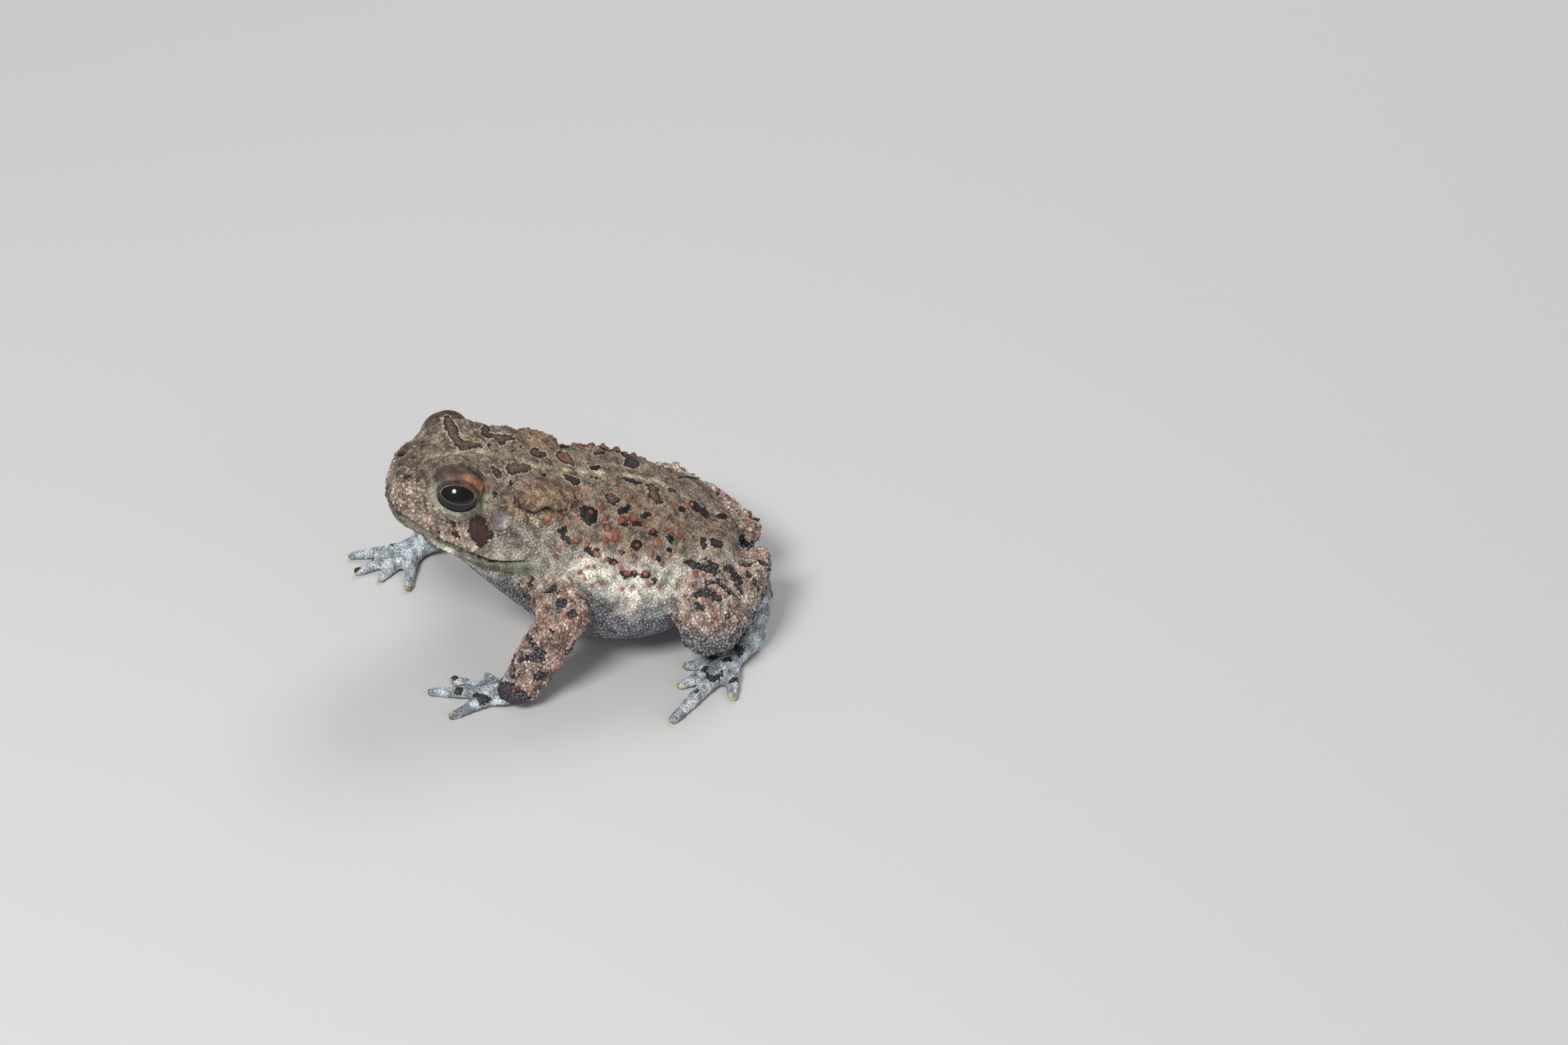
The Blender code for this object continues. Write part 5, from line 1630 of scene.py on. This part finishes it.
class TOAD_OT_granules(bpy.types.Operator):
    """Makes the granules that cover the skin"""

    bl_idname = "toad.granules"
    bl_label = "Granules"

    def execute(self, context):
        shape, colours = context.scene.toad_shape, context.scene.toad_colours
        skin = bpy.data.objects["skin"]
        rng = np.random.default_rng(shape.seed)
        corner, roots, normals = scatter_places(skin.data, shape.bead_spacing, rng)
        count = len(roots)
        stored = {name: read_values(skin.data, name)[corner] for name in GRANULE_VALUES}
        size = read_values(skin.data, "size")[corner] * rng.uniform(0.6, 1.3, count)
        spiny = read_values(skin.data, "spiny")[corner] > 0.5
        flat = read_values(skin.data, "flat")[corner]
        share = read_values(skin.data, "red")[corner] * np.where(stored["patch"] > 0.1, 1.0, 0.4)
        red = rng.random(count) < share
        stored["tip"] = np.where(red, rng.uniform(0.5, 1.0, count), 0.0)
        stored["tip_colour"] = red_tones(rng.uniform(0.2, 0.9, count), colours)
        stored["tone"] = rng.uniform(0.86, 1.10, count)
        washed = rng.uniform(0.15, 1.0, count) * read_values(skin.data, "buff")[corner]
        stored["ground"] = mix(stored["ground"], colours.pebble, washed)
        normals = normals + rng.normal(0.0, 0.16, normals.shape)
        normals /= lengths(normals)[:, None]
        unwrap = unwrapped_skin(skin)
        material = skin_material(colours, True)
        for label, slot, power, low, high in GRANULE_KINDS:
            members = np.nonzero(spiny == (label == "limb"))[0]
            members = members[np.argsort(roots[members, 1])]
            for number, start in enumerate(range(0, len(members), GRANULES_A_PIECE)):
                pick = members[start : start + GRANULES_A_PIECE]
                wide = size[pick] * np.where(red[pick], 1.15, 1.0)
                narrow = wide * rng.uniform(0.75, 1.0, len(pick))
                tall = wide * rng.uniform(low, high, len(pick)) * (1 - 0.45 * flat[pick])
                sizes = np.stack((wide, narrow, tall), axis=1)
                mesh = scatter_mesh(
                    f"granules_{label}_{number + 1}", dome(7, 4, power), roots[pick] - normals[pick] * 0.03,
                    normals[pick], sizes, rng, unwrap,
                    {key: value[pick] for key, value in stored.items()},
                )
                add_piece(mesh, mesh.name, material)
        return {"FINISHED"}


class TOAD_OT_warts(bpy.types.Operator):
    """Makes the red and orange warts of the flanks"""

    bl_idname = "toad.warts"
    bl_label = "Warts"

    def execute(self, context):
        shape, colours = context.scene.toad_shape, context.scene.toad_colours
        skin = bpy.data.objects["skin"]
        tree = skin_tree(skin.data)
        rng = np.random.default_rng(shape.seed + 2)
        roots, radii, tones = (np.array(column) for column in zip(*wart_places(tree, shape.seed)))
        points, all_normals = mesh_points(skin.data), mesh_normals(skin.data)
        nearest = np.array([np.argmin(((points - root) ** 2).sum(axis=1)) for root in roots])
        normals = all_normals[nearest]
        stored = {name: read_values(skin.data, name)[nearest] for name in GRANULE_VALUES}
        stored["halo"] = stored["halo"] * 0
        stored["tip"] = np.ones(len(roots))
        stored["tip_colour"] = red_tones(tones, colours)
        stored["tone"] = rng.uniform(0.6, 0.95, len(roots))
        narrow = radii * rng.uniform(0.8, 1.05, len(radii))
        tall = radii * rng.uniform(0.4, 0.7, len(radii))
        sizes = np.stack((radii * 1.05, narrow, tall), axis=1)
        mesh = scatter_mesh(
            "red_warts", dome(14, 8, 1.9), roots - normals * 0.03, normals, sizes, rng,
            unwrapped_skin(skin), stored,
        )
        add_piece(mesh, "red_warts", skin_material(colours, True))
        return {"FINISHED"}


class TOAD_OT_eyes(bpy.types.Operator):
    """Makes both eyeballs with iris, pupil and gold ring"""

    bl_idname = "toad.eyes"
    bl_label = "Eyes"

    def execute(self, context):
        colours = context.scene.toad_colours
        for name, side in SIDES:
            centre, out, long_axis, high = eye_frame(side)
            work = bmesh.new()
            bmesh.ops.create_uvsphere(work, u_segments=96, v_segments=64, radius=eye_radius() * MM)
            bmesh.ops.translate(work, verts=work.verts, vec=Vector(centre) * MM)
            mesh = bpy.data.meshes.new("eyeball_" + name)
            work.to_mesh(mesh)
            work.free()
            spoke = (mesh_points(mesh) - centre) / eye_radius()
            pupil = ball_direction(PUPIL_PIXEL) * flip_for(side)
            along = spoke @ long_axis - pupil @ long_axis
            upward = spoke @ high - pupil @ high
            behind = np.where(spoke @ out > 0, 0.0, FAR)
            add_values(mesh, "pupil", np.hypot(along / PUPIL_LONG, upward / PUPIL_HIGH) + behind)
            add_values(mesh, "upper", upward)
            piece = add_piece(mesh, "eyeball_" + name, eye_material(colours, name))
            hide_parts("eye_" + name)
        return {"FINISHED"}


def eye_material(colours, name):
    """Wet gloss over a near black iris with a thin gold ring round the pupil, painted brighter on its upper
    side as painted light.
    """
    graph = Graph("toad_eye_" + name)
    pupil = graph.attribute("pupil")
    fleck = graph.texture("ShaderNodeTexNoise", 0.25)
    fleck.inputs["Detail"].default_value = 6.0
    bronze = graph.ramp(fleck.outputs["Fac"], 0.5, 0.75, 0.0, 0.06)
    colour = graph_mix(graph, bronze, graph_constant(graph, colours.iris), colours.gold)
    ring = graph.math(
        "MULTIPLY", graph.ramp(pupil, 0.94, 0.99, 0.0, 1.0), graph.ramp(pupil, 1.04, 1.12, 1.0, 0.0)
    )
    # Painted light: the gold ring brighter on its upper side.
    lit = graph.ramp(graph.attribute("upper"), -0.2, 0.35, 0.12, 0.8)
    colour = graph_mix(graph, graph.math("MULTIPLY", ring, lit), colour, colours.gold)
    colour = graph_mix(graph, graph.ramp(pupil, 0.92, 0.97, 1.0, 0.0), colour, (0.002, 0.002, 0.002))
    graph.link(colour, graph.shader.inputs["Base Color"])
    graph.shader.inputs["Roughness"].default_value = 0.5
    graph.shader.inputs["Specular IOR Level"].default_value = 0.1
    graph.shader.inputs["Coat Weight"].default_value = 0.8
    graph.shader.inputs["Coat Roughness"].default_value = 0.03
    return graph.material


def graph_constant(graph, colour):
    """A faintly varied version of one colour, as a socket."""
    patch = graph.texture("ShaderNodeTexNoise", 0.9)
    made = graph.node("ShaderNodeMix", data_type="RGBA")
    weight, one, two, result = mix_sockets(made)
    graph.link(patch.outputs["Fac"], weight)
    one.default_value = (*tuple(colour)[:3], 1.0)
    two.default_value = (*(channel * 0.5 for channel in tuple(colour)[:3]), 1.0)
    return result


class TOAD_OT_stage(bpy.types.Operator):
    """Makes the floor, the lights and the camera"""

    bl_idname = "toad.stage"
    bl_label = "Stage"

    def execute(self, context):
        stage = context.scene.toad_stage
        work = bmesh.new()
        bmesh.ops.create_grid(work, x_segments=2, y_segments=2, size=3.0)
        mesh = bpy.data.meshes.new("floor")
        work.to_mesh(mesh)
        work.free()
        floor = bpy.data.objects.new("floor", mesh)
        context.collection.objects.link(floor)
        graph = Graph("stage_floor")
        graph.shader.inputs["Base Color"].default_value = (*stage.floor, 1.0)
        graph.shader.inputs["Roughness"].default_value = 0.9
        mesh.materials.append(graph.material)
        place, right, top, back = photo_camera()
        data = bpy.data.cameras.new("photo_camera")
        data.lens = stage.lens
        data.sensor_width = SENSOR_WIDTH
        data.clip_start = 0.01
        data.clip_end = 20.0
        camera = bpy.data.objects.new("photo_camera", data)
        context.collection.objects.link(camera)
        camera.rotation_mode = "QUATERNION"
        camera.rotation_quaternion = Matrix((right, top, back)).transposed().to_quaternion()
        camera.location = place
        context.scene.camera = camera
        target = Vector(stage.target)
        for name, offset, size, power, mirrored in LIGHTS:
            add_light(name, target, target + Vector(offset), size, power, mirrored)
        world = bpy.data.worlds.new("studio")
        world.use_nodes = True
        sky = world.node_tree.nodes["Background"]
        sky.inputs["Color"].default_value = WORLD_COLOUR
        sky.inputs["Strength"].default_value = WORLD_STRENGTH
        context.scene.world = world
        context.scene.view_settings.view_transform = "Standard"
        return {"FINISHED"}


def add_light(name, target, place, size, power, mirrored):
    """A round soft light, which shows in the wet eyes where it is mirrored."""
    data = bpy.data.lights.new(name, "AREA")
    data.shape = "DISK"
    data.size = size
    data.energy = power
    light = bpy.data.objects.new(name, data)
    bpy.context.collection.objects.link(light)
    light.visible_glossy = mirrored
    light.location = place
    light.rotation_mode = "QUATERNION"
    light.rotation_quaternion = (target - place).to_track_quat("-Z", "Y")


class TOAD_PT_panel(bpy.types.Panel):
    """Shows the toad's settings and the buttons that make its pieces"""

    bl_label = "Toad"
    bl_idname = "TOAD_PT_panel"
    bl_space_type = "VIEW_3D"
    bl_region_type = "UI"
    bl_category = "Toad"

    def draw(self, context):
        for group in (context.scene.toad_shape, context.scene.toad_colours, context.scene.toad_stage):
            for key in group.__annotations__:
                self.layout.prop(group, key)
        for operator in OPERATORS:
            self.layout.operator(operator.bl_idname)


OPERATORS = (TOAD_OT_skin, TOAD_OT_granules, TOAD_OT_warts, TOAD_OT_eyes, TOAD_OT_stage)
CLASSES = (ToadShape, ToadColours, ToadStage, *OPERATORS, TOAD_PT_panel)


def register():
    for kind in CLASSES:
        bpy.utils.register_class(kind)
    bpy.types.Scene.toad_shape = PointerProperty(type=ToadShape)
    bpy.types.Scene.toad_colours = PointerProperty(type=ToadColours)
    bpy.types.Scene.toad_stage = PointerProperty(type=ToadStage)


def unregister():
    del bpy.types.Scene.toad_stage
    del bpy.types.Scene.toad_colours
    del bpy.types.Scene.toad_shape
    for kind in reversed(CLASSES):
        bpy.utils.unregister_class(kind)


def main():
    register()
    bpy.ops.toad.skin()
    bpy.ops.toad.granules()
    bpy.ops.toad.warts()
    bpy.ops.toad.eyes()
    bpy.ops.toad.stage()


if __name__ == "__main__":
    main()
